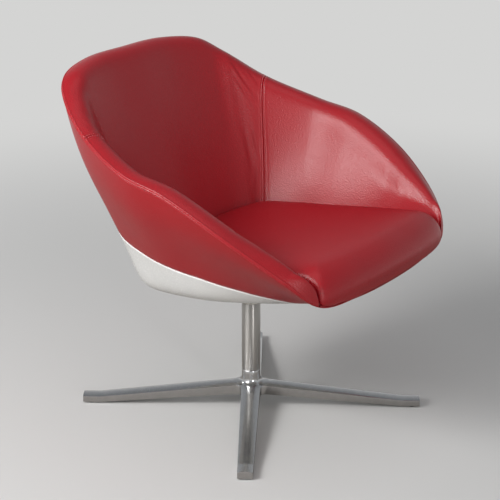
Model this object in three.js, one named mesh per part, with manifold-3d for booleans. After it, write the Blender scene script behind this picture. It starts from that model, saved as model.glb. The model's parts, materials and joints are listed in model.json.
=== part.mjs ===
// A pedestal swivel armchair: an upholstered tub in a moulded plastic lower shell, turning on a steel column
// over a four-legged cast foot. Millimetres, +Z up. The sitter faces -Y.
import * as THREE from "three";
import { mergeVertices } from "three/addons/utils/BufferGeometryUtils.js";
import Module from "manifold-3d";

const wasm = await Module();
wasm.setup();

// Clearances shared by all the pieces.
const GAP = 0.3; // between two pieces that touch
const CUT = 2; // run of a cutter past the face it cuts

// Cast foot.
const FOOT_REACH = 366; // column axis to the end of a leg
const LEG_TURN_DEG = -57.7; // turn of the first leg from straight ahead
const LEG_COUNT = 4;
const LEG_END_WIDTH = 31;
const LEG_HUB_WIDTH = 41;
const LEG_END_SIDE = 13; // height of the side face at the end
const LEG_HUB_SIDE = 20;
const LEG_END_ROOF = 2.5; // rise of the rounded ridge over the side faces
const LEG_HUB_ROOF = 5;
const LEG_FLAT = 36; // level stretch at the end of a leg
const LEG_CORNER = 1.5; // chamfer along the lower edges
const HUB_UNDERSIDE = 30; // floor to the underside of the hub
const HUB_FILLET = 14; // round between two legs
const HUB_SKIRT_RADIUS = 25;
const HUB_SKIRT_RISE = 16; // height over which the hub draws in to the column
const HUB_TOP = 82; // floor to the joint between hub and column
const SPIGOT_RISE = 28;
const GLIDE_RADIUS = 12;
const GLIDE_HEIGHT = 3;
const GLIDE_STEM_RADIUS = 3.5;
const GLIDE_STEM_RISE = 8;

// Column and its fixing.
const COLUMN_RADIUS = 20;
const COLUMN_WALL = 2.5;
const BOLT_RADIUS = 6;
const BOLT_HEAD_RADIUS = 9;
const BOLT_HEAD_HEIGHT = 7.5;
const BOLT_CLEARANCE = 0.5;
const BOLT_POCKET_DEPTH = 12;
const WASHER_RADIUS = 12.5;
const WASHER_THICKNESS = 2.5;
const PLUG_THICKNESS = 20;
const SOCKET_SHARE = 0.55; // width of a hexagon socket, of its screw head's
const SOCKET_DEPTH_SHARE = 0.6;

// Swivel.
const SPINDLE_RADIUS = 11;
const SPINDLE_LENGTH = 112;
const BUSH_LENGTH = 22;
const BUSH_FLANGE = 2.5;
const THRUST_THICKNESS = 2;
const RING_THICKNESS = 1.5;
const RING_WIDTH = 4;
const RING_GROOVE = 1.2;
const RING_OPENING = 6;
const SPINDLE_END = 6; // spindle left below the retaining ring
const PLATE_HUB_RADIUS = 24;
const PLATE_HUB_HEIGHT = 15;
const PLATE_RADIUS = 64;
const PLATE_THICKNESS = 5;
const PLATE_BOLT_CIRCLE = 45;
const PLATE_BOLT_RADIUS = 4;
const PLATE_BOLT_HEAD_RADIUS = 6.5;
const PLATE_BOLT_HEAD_HEIGHT = 5;
const PLATE_BOLT_COUNT = 4;
const ANCHOR_RADIUS = 58;
const ANCHOR_THICKNESS = 4;
const THREAD_END = 2; // bolt left above the piece it threads into

// Tub: overall sizes of the rim seam, of the bowl's lower corner and of the flat under the bowl.
const RIM_HALF_WIDTH = 369;
const RIM_BACK_REACH = 338; // column axis to the rim seam at the back
const RIM_FRONT_REACH = 340;
const RIM_BACK_HEIGHT = 745; // floor to the rim seam at the back
const LIP_HEIGHT = 355; // floor to the seam under the front edge
const BOWL_HALF_WIDTH = 237;
const BOWL_BACK_REACH = 204;
const BOWL_FRONT_REACH = 308;
const BOWL_BACK_HEIGHT = 281;
const BOWL_FRONT_DROP = 5; // from the seam under the front edge to the bowl's lower corner there
const BOWL_HEIGHT = 262; // floor to the flat under the bowl
const BOWL_FLAT_RADIUS = 70;
const BOWL_HOLE_RADIUS = 13;
const CORNER_REACH = 55; // spread of the bowl's lower corner
const SIDE_BULGE = 16; // fullness of the side between corner and rim

// Walls of the tub, from the outside in.
const SHELL_WALL = 4;
const SHELL_EDGE_WALL = 8; // at the boss under the bowl and at the upper edge
const COVER_WALL = 8;
const COVER_EDGE = 4; // thickness left at the rim seam
const COVER_TUCK = 1.2; // cover lies back here where it meets the shell
const FRAME_WALL = 7.7;
const FRAME_EDGE_CLEAR = 1; // between the frame's upper edge and the lining that laps over it

// Pads that line the tub.
const ROLL_WIDTH = 64; // rim seam to the start of the inner wall
const ROLL_RISE = 30; // height of the roll over the straight way across it
const ROLL_DROP = 40; // fall from the rim seam to the start of the inner wall
const WALL_HOLLOW = 10; // how far the inner wall bends outwards
const PAD_SEAM_GAP = 0.6;
const PAD_FOOT_DRAW = 3; // pads lean out beside the cushion
const PAD_BACKING = 1.5; // blank of a pad reaches this far out of the tub before it is cut

// Seat cushion and the board under it.
const SEAT_HALF_WIDTH = 243;
const SEAT_BACK_REACH = 135;
const SEAT_FRONT_REACH = 321;
const SEAT_BACK_HEIGHT = 386; // floor to the cushion's edge at the back
const SEAT_FRONT_HEIGHT = 428;
const CUSHION_BOW = 32; // how far the front edge bows forward
const CUSHION_NOSE = 46; // drop of the rounded front edge
const CUSHION_NOSE_DEPTH = 60;
const CUSHION_CROWN = 14;
const CUSHION_CROWN_SPREAD = 35;
const CUSHION_DRAW = 4; // sides pull in below the edge
const CUSHION_HEM = 12; // inset of the underside
const CUSHION_FRONT_HEM = 28;
const CUSHION_BASE_BACK = 322;
const CUSHION_BASE_FRONT = 353;
const CUSHION_CENTRE = 100; // in front of the column axis
const BOARD_HALF_WIDTH = 185;
const BOARD_FRONT = 215;
const BOARD_BACK = 105;
const BOARD_CORNER = 70;
const BOARD_THICKNESS = 12;
const POST_RADIUS = 13;
const POST_SPREAD = 120;
const POST_FRONT = 155;
const POST_BACK = 55;
const SCREW_RADIUS = 2.5;
const SCREW_HEAD_RADIUS = 5;
const SCREW_HEAD_HEIGHT = 2.5;
const SCREW_LENGTH = 30;

// Counts of facets, and small steps for directions and joins.
const ROUND = 20;
const ROUND_LARGE = 30;
const ROUND_SMALL = 12;
const STATION_STEPS = 3; // samples between two stations
const LOWER_ROWS = 5; // rows of the tub below the shell's upper edge
const UPPER_ROWS = 2; // rows between there and the frame's upper edge
const LINER_STEPS = 9;
const BACKING_STEPS = 5;
const LEG_STEPS = 4;
const FRONT_STEPS = 11;
const BOARD_CORNER_STEPS = 5;
const HALVINGS = 20; // of the search for a height on the tub's profile
const WELD = 1e-4;

// Tables of the tub, one row per station: station 0 is the middle of the back, 4 the seam between back and
// arm, 9 the end of the arm and 11 the middle of the front edge. The other half mirrors them.
// Rim seam: share of half width, of reach and of rise from lip to back.
const rimShares = [
  [0, 1, 1],
  [0.32, 0.994, 0.995],
  [0.607, 0.914, 0.956],
  [0.762, 0.76, 0.86],
  [0.873, 0.521, 0.731],
  [0.981, 0.169, 0.62],
  [1, -0.147, 0.556],
  [0.957, -0.5, 0.396],
  [0.827, -0.809, 0.192],
  [0.661, -0.947, 0.041],
  [0.352, -0.99, 0.01],
  [0, -1, 0],
];
// Lower corner of the bowl: the same shares of the bowl's own sizes.
const bowlShares = [
  [0, 1, 0],
  [0.354, 0.975, 0],
  [0.624, 0.858, 0.062],
  [0.789, 0.672, 0.185],
  [0.903, 0.382, 0.369],
  [0.983, 0.059, 0.554],
  [1, -0.197, 0.692],
  [0.945, -0.446, 0.831],
  [0.835, -0.685, 0.923],
  [0.675, -0.876, 0.985],
  [0.363, -0.975, 1],
  [0, -1, 1],
];
// Line where the pads meet the cushion, to the end of the arm: share of half width, reach and nose drop.
const seatShares = [
  [0, 1, 0],
  [0.288, 1, 0],
  [0.527, 0.963, 0],
  [0.691, 0.874, 0],
  [0.819, 0.741, 0],
  [0.889, 0.148, 0],
  [0.926, -0.187, 0],
  [0.971, -0.498, 0],
  [0.983, -0.915, 0.055],
  [1, -1, 1],
];
// Upper edge of the plastic shell, as a share of the way up the tub's profile.
const shellEdgeShares = [
  0.623, 0.623, 0.625, 0.627, 0.602, 0.585, 0.565, 0.525, 0.475, 0.45, 0.43, 0.42,
];
// Upper edge of the frame, as a share of the way up the tub's profile. The lining laps over it.
const frameTopShares = [0.9, 0.9, 0.9, 0.9, 0.9, 0.9, 0.89, 0.87, 0.81, 0.75, 0.75, 0.75];
// Thickness of the tub's walls at the rim, which thin out towards the front edge.
const wallShares = [1, 1, 1, 1, 1, 1, 1, 0.95, 0.75, 0.4, 0.35, 0.35];
// Width of the padded roll along the rim, and how far it rises over it.
const rollShares = [1, 1, 1, 0.95, 0.86, 0.92, 1.1, 1.27, 1.2, 0.3];
const rollRiseShares = [1, 1, 1, 0.95, 0.83, 0.92, 1.12, 1.2, 1.05, 0.5];
// Fullness of the tub's side: share of the way up it and of its bulge.
const sideShares = [
  [0.33, 0.3],
  [0.67, 1.15],
];
const CORNER_UNDER_SHARE = 0.45; // most that the corner's spread takes of the way to the flat
const CORNER_SIDE_SHARE = 0.33; // most that it takes of the way to the rim
// Outline of the padded roll: share of the way over it and of its rise above the straight way.
const rollOutlineShares = [
  [0, 0],
  [0.12, 0.36],
  [0.47, 0.96],
  [0.8, 1],
];
const ROLL_SPAN_SHARE = 0.9; // most that the roll takes of the way from rim to cushion
const wallOutlineShares = [0.4, 0.75];
const FRONT_SLOPE_SHARE = 0.7; // of the hem, how far the cushion's front leans in below its edge
const PAD_TOP_SHARE = 0.95; // of the tub's profile, where the back of a pad ends
const TIP_BACK_SHARE = 0.93; // where it starts at the end of an arm
const PROFILE_LEAST_SHARE = 0.3; // below which no pad reaches
const TIP_ROUNDING_SHARE = 1.7; // of a station: run over which the end of an arm gets shallow
const TIP_LEFT_SHARE = 0.25; // of a station: left between the end of an arm and the corner of the seat
const ALONG_NUDGE_SHARE = 0.05; // of a station: step that gives the direction along the rim
const UP_NUDGE_SHARE = 0.03; // of the tub's profile: step that gives the direction up it

const seatTilt = (SEAT_FRONT_HEIGHT - SEAT_BACK_HEIGHT) / (SEAT_BACK_REACH + SEAT_FRONT_REACH);
const baseTilt = (CUSHION_BASE_FRONT - CUSHION_BASE_BACK) / (SEAT_BACK_REACH + SEAT_FRONT_REACH);
const seatPlane = (y) => SEAT_BACK_HEIGHT + (SEAT_BACK_REACH - y) * seatTilt;
const basePlane = (y) => CUSHION_BASE_BACK + (SEAT_BACK_REACH - y) * baseTilt;

// Plain material of each finish.
const finish = (color, roughness, metalness) =>
  new THREE.MeshStandardMaterial({ color, roughness, metalness });
const leather = finish("#a5121f", 0.45, 0);
const whitePlastic = finish("#eceeee", 0.2, 0);
const aluminium = finish("#c9cacb", 0.18, 1);
const brushedSteel = finish("#aaa7a3", 0.35, 1);
const zincSteel = finish("#8f9193", 0.4, 1);
const blackPlastic = finish("#202122", 0.6, 0);
const nylon = finish("#dcd9d0", 0.5, 0);
const plywood = finish("#c9a878", 0.7, 0);

// Solid of a closed geometry, for joins and cuts.
function solidOf(geometry) {
  const bare = geometry.index ? geometry.toNonIndexed() : geometry.clone();
  bare.deleteAttribute("normal");
  bare.deleteAttribute("uv");
  const welded = mergeVertices(bare, WELD);
  const vertProperties = welded.attributes.position.array;
  const triVerts = new Uint32Array(welded.index.array);
  return new wasm.Manifold(new wasm.Mesh({ numProp: 3, vertProperties, triVerts }));
}

function geometryOf(solid) {
  const mesh = solid.getMesh();
  const geometry = new THREE.BufferGeometry();
  geometry.setAttribute("position", new THREE.BufferAttribute(mesh.vertProperties, 3));
  geometry.setIndex(new THREE.BufferAttribute(mesh.triVerts, 1));
  return geometry;
}

// Geometry from points and polygons; a polygon of more than three points is fanned.
function surface(points, polygons) {
  const index = [];
  for (const polygon of polygons)
    for (let k = 2; k < polygon.length; k++) index.push(polygon[0], polygon[k - 1], polygon[k]);
  const geometry = new THREE.BufferGeometry().setFromPoints(points);
  return geometry.setIndex(index);
}

// Turned piece: its outline is a closed list of [radius, height], in either direction.
function turned(outline, segments = ROUND) {
  const points = outline.map(([r, z]) => new THREE.Vector2(r, z));
  if (THREE.ShapeUtils.area(points) < 0) points.reverse();
  points.push(points[0].clone());
  return new THREE.LatheGeometry(points, segments).rotateX(Math.PI / 2);
}

const rod = (radius, low, high, segments = ROUND) =>
  new THREE.CylinderGeometry(radius, radius, high - low, segments)
    .rotateX(Math.PI / 2)
    .translate(0, 0, (low + high) / 2);

const tube = (inner, outer, low, high, segments = ROUND) =>
  turned([[inner, low], [outer, low], [outer, high], [inner, high]], segments);

// Hexagon socket, cut into a screw head whose open face looks down or up.
function socketCutter(headRadius, headHeight, face, direction) {
  const deep = headHeight * SOCKET_DEPTH_SHARE;
  const from = face - direction * deep;
  const to = face + direction * CUT;
  return solidOf(rod(headRadius * SOCKET_SHARE, Math.min(from, to), Math.max(from, to), 6));
}

const parts = { base: [], seat: [] };
function add(body, name, geometry, material) {
  const mesh = new THREE.Mesh(geometry, material);
  mesh.name = name;
  parts[body].push(mesh);
  return mesh;
}

// Cast foot: four lofted legs and a turned hub with a spigot for the column.
const legUnderEnd = GLIDE_HEIGHT;
const hubLegTop = HUB_UNDERSIDE + LEG_HUB_SIDE;
const legInner = LEG_HUB_WIDTH / 2;

// Half width and heights of a leg at a distance from the column axis.
function legSection(r) {
  const bend = FOOT_REACH - LEG_FLAT;
  const along = THREE.MathUtils.clamp((r - legInner) / (bend - legInner), 0, 1);
  const taper = THREE.MathUtils.clamp((r - legInner) / (FOOT_REACH - legInner), 0, 1);
  const mix = THREE.MathUtils.lerp;
  const inFillet = Math.max(0, HUB_FILLET - Math.max(0, r - legInner));
  const flare = HUB_FILLET - Math.sqrt(Math.max(0, HUB_FILLET ** 2 - inFillet ** 2));
  return {
    half: mix(LEG_HUB_WIDTH, LEG_END_WIDTH, taper) / 2 + flare,
    under: mix(HUB_UNDERSIDE, legUnderEnd, along),
    shoulder: mix(hubLegTop, legUnderEnd + LEG_END_SIDE, along),
    ridge: mix(hubLegTop + LEG_HUB_ROOF, legUnderEnd + LEG_END_SIDE + LEG_END_ROOF, along),
  };
}

function legGeometry() {
  const reaches = [0, legInner, legInner + HUB_FILLET / 3, legInner + HUB_FILLET];
  const bend = FOOT_REACH - LEG_FLAT;
  const from = legInner + HUB_FILLET;
  for (let k = 1; k < LEG_STEPS; k++) reaches.push(THREE.MathUtils.lerp(from, bend, k / LEG_STEPS));
  reaches.push(bend, FOOT_REACH);
  // Share of the half width and of the ridge's rise.
  const roofShares = [[0.42, 0.62], [0.16, 1], [-0.16, 1], [-0.42, 0.62]];
  const points = [];
  for (const r of reaches) {
    const { half, under, shoulder, ridge } = legSection(r);
    const c = LEG_CORNER;
    const rim = [[-half + c, under], [half - c, under], [half, under + c], [half, shoulder]];
    for (const [across, up] of roofShares) rim.push([half * across, shoulder + (ridge - shoulder) * up]);
    rim.push([-half, shoulder], [-half, under + c]);
    for (const [x, z] of rim) points.push(new THREE.Vector3(x, -r, z));
  }
  const n = points.length / reaches.length;
  const polygons = [];
  for (let i = 0; i + 1 < reaches.length; i++)
    for (let k = 0; k < n; k++) {
      const a = i * n + k;
      const b = i * n + ((k + 1) % n);
      polygons.push([a, b, b + n, a + n]);
    }
  const first = Array.from({ length: n }, (_, k) => k);
  polygons.push([...first].reverse());
  polygons.push(first.map((k) => k + n * (reaches.length - 1)));
  return surface(points, polygons);
}

const legTurns = Array.from(
  { length: LEG_COUNT },
  (_, k) => THREE.MathUtils.degToRad(LEG_TURN_DEG) + (k * 2 * Math.PI) / LEG_COUNT,
);
const spigotRadius = COLUMN_RADIUS - COLUMN_WALL - GAP;
const spigotTop = HUB_TOP + SPIGOT_RISE;
const pocketTop = HUB_UNDERSIDE + BOLT_POCKET_DEPTH;
const glideRadial = FOOT_REACH - LEG_FLAT / 2;

function footGeometry() {
  const skirtTop = hubLegTop + HUB_SKIRT_RISE;
  const skirtOutlineShares = [[1, 0], [0.55, 0.22], [0.22, 0.55], [0, 1]];
  const draw = HUB_SKIRT_RADIUS - COLUMN_RADIUS;
  const outline = [[BOLT_RADIUS + BOLT_CLEARANCE, pocketTop], [WASHER_RADIUS + BOLT_CLEARANCE, pocketTop]];
  outline.push([WASHER_RADIUS + BOLT_CLEARANCE, HUB_UNDERSIDE], [HUB_SKIRT_RADIUS, HUB_UNDERSIDE]);
  for (const [out, up] of skirtOutlineShares)
    outline.push([COLUMN_RADIUS + draw * out, hubLegTop + (skirtTop - hubLegTop) * up]);
  outline.push([COLUMN_RADIUS, HUB_TOP], [spigotRadius, HUB_TOP], [spigotRadius, spigotTop]);
  outline.push([BOLT_RADIUS + BOLT_CLEARANCE, spigotTop]);
  const leg = legGeometry();
  let foot = solidOf(turned(outline, ROUND_LARGE));
  for (const turn of legTurns) foot = foot.add(solidOf(leg.clone().rotateZ(turn)));
  foot = foot.subtract(solidOf(rod(WASHER_RADIUS + BOLT_CLEARANCE, HUB_UNDERSIDE - CUT, pocketTop)));
  foot = foot.subtract(solidOf(rod(BOLT_RADIUS + BOLT_CLEARANCE, HUB_UNDERSIDE, spigotTop + CUT)));
  const stemTop = legUnderEnd + GLIDE_STEM_RISE + GAP;
  const stem = rod(GLIDE_STEM_RADIUS + GAP, legUnderEnd - CUT, stemTop, ROUND_SMALL);
  for (const turn of legTurns)
    foot = foot.subtract(solidOf(stem.clone().translate(0, -glideRadial, 0).rotateZ(turn)));
  return geometryOf(foot);
}
add("base", "base_star", footGeometry(), aluminium);

const glideOutline = [
  [0, 0],
  [GLIDE_RADIUS, 0],
  [GLIDE_RADIUS, GLIDE_HEIGHT - GAP],
  [GLIDE_STEM_RADIUS, GLIDE_HEIGHT - GAP],
  [GLIDE_STEM_RADIUS, GLIDE_HEIGHT + GLIDE_STEM_RISE - GAP],
  [0, GLIDE_HEIGHT + GLIDE_STEM_RISE - GAP],
];
legTurns.forEach((turn, k) => {
  const glide = add("base", `glide_${k + 1}`, turned(glideOutline, ROUND_SMALL), blackPlastic);
  glide.position.set(Math.sin(turn) * glideRadial, -Math.cos(turn) * glideRadial, 0);
});

// Heights of the swivel, stacked down from the flat under the bowl.
const plateTop = BOWL_HEIGHT - GAP;
const plateUnder = plateTop - PLATE_THICKNESS;
const plateHubUnder = plateUnder - PLATE_HUB_HEIGHT;
const thrustTop = plateHubUnder - GAP;
const flangeTop = thrustTop - THRUST_THICKNESS - GAP;
const columnTop = flangeTop - BUSH_FLANGE - GAP;
const spindleTop = plateTop;
const spindleEnd = spindleTop - SPINDLE_LENGTH;
const ringLow = spindleEnd + SPINDLE_END;
const lowerBushLow = ringLow + RING_THICKNESS + 2 * GAP;
const columnBore = COLUMN_RADIUS - COLUMN_WALL;

const columnTube = tube(columnBore, COLUMN_RADIUS, HUB_TOP + GAP, columnTop, ROUND_LARGE);
add("base", "column_tube", columnTube, brushedSteel);
const plugLow = spigotTop + GAP;
const plugTop = plugLow + PLUG_THICKNESS;
add("base", "column_plug", tube(BOLT_RADIUS + GAP, columnBore - GAP, plugLow, plugTop), zincSteel);
const washerTop = pocketTop - GAP;
const washerLow = washerTop - WASHER_THICKNESS;
add("base", "base_washer", tube(BOLT_RADIUS + GAP, WASHER_RADIUS, washerLow, washerTop), zincSteel);

// Screw with a round head and a hexagon socket. The head sits below or above the shank.
function screwGeometry(radius, headRadius, headHeight, headAt, tip) {
  const direction = tip > headAt ? -1 : 1;
  const face = headAt + direction * headHeight;
  const head = [[0, face], [headRadius, face], [headRadius, headAt]];
  const outline = [...head, [radius, headAt], [radius, tip], [0, tip]];
  const body = solidOf(turned(outline, ROUND_SMALL));
  return geometryOf(body.subtract(socketCutter(headRadius, headHeight, face, direction)));
}
const boltTip = plugTop + THREAD_END;
const baseBolt = screwGeometry(BOLT_RADIUS, BOLT_HEAD_RADIUS, BOLT_HEAD_HEIGHT, washerLow - GAP, boltTip);
add("base", "base_bolt", baseBolt, zincSteel);

const bushOuter = columnBore - GAP;
const bushInner = SPINDLE_RADIUS + GAP;
const lowerBush = tube(bushInner, bushOuter, lowerBushLow, lowerBushLow + BUSH_LENGTH);
add("base", "lower_bush", lowerBush, nylon);
const upperBush = turned([
  [bushInner, columnTop - BUSH_LENGTH],
  [bushOuter, columnTop - BUSH_LENGTH],
  [bushOuter, columnTop + GAP],
  [COLUMN_RADIUS, columnTop + GAP],
  [COLUMN_RADIUS, flangeTop],
  [bushInner, flangeTop],
]);
add("base", "upper_bush", upperBush, nylon);
const thrustWasher = tube(bushInner, COLUMN_RADIUS, thrustTop - THRUST_THICKNESS, thrustTop);
add("base", "thrust_washer", thrustWasher, zincSteel);

// Spindle with its groove, and the open ring that keeps it in the lower bush.
const grooveRadius = SPINDLE_RADIUS - RING_GROOVE;
const spindle = turned([
  [0, spindleEnd],
  [SPINDLE_RADIUS, spindleEnd],
  [SPINDLE_RADIUS, ringLow - GAP],
  [grooveRadius, ringLow - GAP],
  [grooveRadius, ringLow + RING_THICKNESS + GAP],
  [SPINDLE_RADIUS, ringLow + RING_THICKNESS + GAP],
  [SPINDLE_RADIUS, spindleTop],
  [0, spindleTop],
]);
add("seat", "spindle", spindle, zincSteel);

function ringGeometry() {
  const inner = grooveRadius + GAP;
  const half = Math.asin(RING_OPENING / 2 / inner);
  const shape = new THREE.Shape();
  shape.absarc(0, 0, inner + RING_WIDTH, half, 2 * Math.PI - half, false);
  shape.absarc(0, 0, inner, 2 * Math.PI - half, half, true);
  const settings = { depth: RING_THICKNESS, bevelEnabled: false, curveSegments: ROUND };
  return new THREE.ExtrudeGeometry(shape, settings).translate(0, 0, ringLow);
}
add("seat", "retaining_ring", ringGeometry(), zincSteel);

const boltTurns = Array.from(
  { length: PLATE_BOLT_COUNT },
  (_, k) => ((k + 1 / 2) * 2 * Math.PI) / PLATE_BOLT_COUNT,
);
const aroundBolts = (geometry) =>
  boltTurns.map((turn) => geometry.clone().translate(0, PLATE_BOLT_CIRCLE, 0).rotateZ(turn));

function withBoltHoles(geometry, low, high) {
  let solid = solidOf(geometry);
  for (const hole of aroundBolts(rod(PLATE_BOLT_RADIUS + GAP, low - CUT, high + CUT, ROUND_SMALL)))
    solid = solid.subtract(solidOf(hole));
  return geometryOf(solid);
}
const seatPlate = turned(
  [
    [SPINDLE_RADIUS + GAP, plateHubUnder],
    [PLATE_HUB_RADIUS, plateHubUnder],
    [PLATE_HUB_RADIUS, plateUnder],
    [PLATE_RADIUS, plateUnder],
    [PLATE_RADIUS, plateTop],
    [SPINDLE_RADIUS + GAP, plateTop],
  ],
  ROUND_LARGE,
);
add("seat", "seat_plate", withBoltHoles(seatPlate, plateUnder, plateTop), zincSteel);

const frameFloor = BOWL_HEIGHT + SHELL_EDGE_WALL + GAP;
const anchorLow = frameFloor + FRAME_WALL + GAP;
const anchorTop = anchorLow + ANCHOR_THICKNESS;
const anchorPlate = tube(BOWL_HOLE_RADIUS, ANCHOR_RADIUS, anchorLow, anchorTop, ROUND_LARGE);
add("seat", "anchor_plate", withBoltHoles(anchorPlate, anchorLow, anchorTop), zincSteel);
const plateBolt = screwGeometry(
  PLATE_BOLT_RADIUS,
  PLATE_BOLT_HEAD_RADIUS,
  PLATE_BOLT_HEAD_HEIGHT,
  plateUnder - GAP,
  anchorTop + THREAD_END,
);
aroundBolts(plateBolt).forEach((geometry, k) => add("seat", `plate_bolt_${k + 1}`, geometry, zincSteel));

// Tub surface. A station curve is a closed smooth loop through its mirrored table.
const lastStation = rimShares.length - 1;
const stationCount = 2 * lastStation;

function mirroredLoop(half) {
  const points = half.map((p) => p.clone());
  for (let k = lastStation - 1; k > 0; k--) points.push(half[k].clone().setX(-half[k].x));
  return new THREE.CatmullRomCurve3(points, true, "catmullrom");
}
const bowlFrontHeight = LIP_HEIGHT - BOWL_FRONT_DROP;
const reachOf = (share, back, front) => (share > 0 ? share * back : share * front);
const rimLoop = mirroredLoop(
  rimShares.map(([x, y, z]) => {
    const height = LIP_HEIGHT + (RIM_BACK_HEIGHT - LIP_HEIGHT) * z;
    return new THREE.Vector3(x * RIM_HALF_WIDTH, reachOf(y, RIM_BACK_REACH, RIM_FRONT_REACH), height);
  }),
);
const bowlLoop = mirroredLoop(
  bowlShares.map(([x, y, z]) => {
    const height = BOWL_BACK_HEIGHT + (bowlFrontHeight - BOWL_BACK_HEIGHT) * z;
    return new THREE.Vector3(x * BOWL_HALF_WIDTH, reachOf(y, BOWL_BACK_REACH, BOWL_FRONT_REACH), height);
  }),
);
const seatHalf = seatShares.map(([x, y, drop]) => {
  const reach = reachOf(y, SEAT_BACK_REACH, SEAT_FRONT_REACH);
  return new THREE.Vector3(x * SEAT_HALF_WIDTH, reach, seatPlane(reach) - drop * CUSHION_NOSE);
});
const armStation = seatHalf.length - 1; // where the arm ends
const armEnd = armStation - TIP_LEFT_SHARE;
const seamStation = 4; // where back and arm pads meet
const seatLine = new THREE.CatmullRomCurve3(
  [...seatHalf.slice(1).reverse().map((p) => p.clone().setX(-p.x)), ...seatHalf],
  false,
  "catmullrom",
);

const wrap = (station) => ((station % stationCount) + stationCount) % stationCount;
const onLoop = (loop, station) => loop.getPoint(wrap(station) / stationCount);
const onSeatLine = (station) => seatLine.getPoint((station + armStation) / (2 * armStation));

// Value of a table of one share per station, straight between its rows and the same on both sides.
function shareAt(table, station) {
  const s = wrap(station);
  const folded = Math.min(s, stationCount - s, table.length - 1);
  const low = Math.min(Math.floor(folded), table.length - 2);
  return THREE.MathUtils.lerp(table[low], table[low + 1], folded - low);
}

// Smooth curve that starts and ends on its first and last point: a cubic B-spline.
function blendPoint(controls, t) {
  const first = controls[0];
  const last = controls[controls.length - 1];
  const c = [first, first, ...controls, last, last];
  const spans = c.length - 3;
  const x = THREE.MathUtils.clamp(t, 0, 1) * spans;
  const i = Math.min(Math.floor(x), spans - 1);
  const f = x - i;
  const weights = [(1 - f) ** 3, 3 * f ** 3 - 6 * f ** 2 + 4, -3 * f ** 3 + 3 * f ** 2 + 3 * f + 1, f ** 3];
  const point = new THREE.Vector3();
  weights.forEach((w, k) => point.addScaledVector(c[i + k], w / 6));
  return point;
}

// Level directions along the rim, and across it towards the inside.
function alongAt(station) {
  const ahead = onLoop(rimLoop, station + ALONG_NUDGE_SHARE);
  const behind = onLoop(rimLoop, station - ALONG_NUDGE_SHARE);
  return ahead.sub(behind).setZ(0).normalize();
}
function inwardAt(station) {
  const along = alongAt(station);
  return new THREE.Vector3(along.y, -along.x, 0);
}

// Profile of the tub's outside at a station: from the flat under the bowl, round the corner, up to the seam.
function profileControls(station) {
  const rim = onLoop(rimLoop, station);
  const corner = onLoop(bowlLoop, station);
  const flat = corner.clone().setZ(0).setLength(BOWL_FLAT_RADIUS).setZ(BOWL_HEIGHT);
  const side = rim.distanceTo(corner);
  const under = flat.distanceTo(corner);
  const before = corner.clone().lerp(flat, Math.min(CORNER_REACH / under, CORNER_UNDER_SHARE));
  const after = corner.clone().lerp(rim, Math.min(CORNER_REACH / side, CORNER_SIDE_SHARE));
  const fullness = SIDE_BULGE * Math.min(side / RIM_BACK_REACH, 1);
  const out = inwardAt(station).multiplyScalar(-fullness);
  const [low, high] = sideShares.map(([up, full]) => after.clone().lerp(rim, up).addScaledVector(out, full));
  return [flat, flat.clone().lerp(corner, 1 / 2), before, corner, after, low, high, rim];
}
const tubPoint = (station, t) => blendPoint(profileControls(station), t);

// Grid of the tub's outside: for each sampled station a ring at the hole, then rows up to the rim.
const sampleCount = stationCount * STATION_STEPS;
const edgeRow = LOWER_ROWS + 1;
const frameRow = edgeRow + UPPER_ROWS;
const rimRow = frameRow + 1;
const rowShare = (station, row) => {
  const edge = shareAt(shellEdgeShares, station);
  if (row <= edgeRow) return (edge * Math.max(row - 1, 0)) / LOWER_ROWS;
  if (row === rimRow) return 1;
  return edge + ((shareAt(frameTopShares, station) - edge) * (row - edgeRow)) / UPPER_ROWS;
};
const grid = Array.from({ length: sampleCount }, (_, i) => {
  const station = i / STATION_STEPS;
  const controls = profileControls(station);
  const hole = controls[0].clone().setZ(0).setLength(BOWL_HOLE_RADIUS).setZ(BOWL_HEIGHT);
  const column = [hole];
  for (let row = 1; row <= rimRow; row++) column.push(blendPoint(controls, rowShare(station, row)));
  return column;
});
const at = (i) => grid[(i + sampleCount) % sampleCount];
const down = new THREE.Vector3(0, 0, -1);
const normals = grid.map((column, i) =>
  column.map((_, row) => {
    if (row === 0) return down.clone();
    const around = at(i + 1)[row].clone().sub(at(i - 1)[row]);
    const up = column[Math.min(row + 1, rimRow)].clone().sub(column[row - 1]);
    return up.cross(around).normalize();
  }),
);
// Walls thin out towards the rim at the front.
const wallScale = (i, row) => {
  const station = i / STATION_STEPS;
  const up = rowShare(station, row);
  return 1 - (1 - shareAt(wallShares, station)) * up * Math.sqrt(up);
};

// Point under the tub's outside: depth goes inwards, slide moves it along the profile past the row.
function layerPoint(i, row, depth, slide = 0) {
  const column = grid[i];
  const point = column[row].clone().addScaledVector(normals[i][row], -depth * wallScale(i, row));
  if (slide) {
    const below = column[row === 0 ? 1 : row - 1];
    const way = column[row].clone().sub(below).normalize();
    point.addScaledVector(way, row === 0 ? -slide : slide);
  }
  return point;
}

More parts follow.
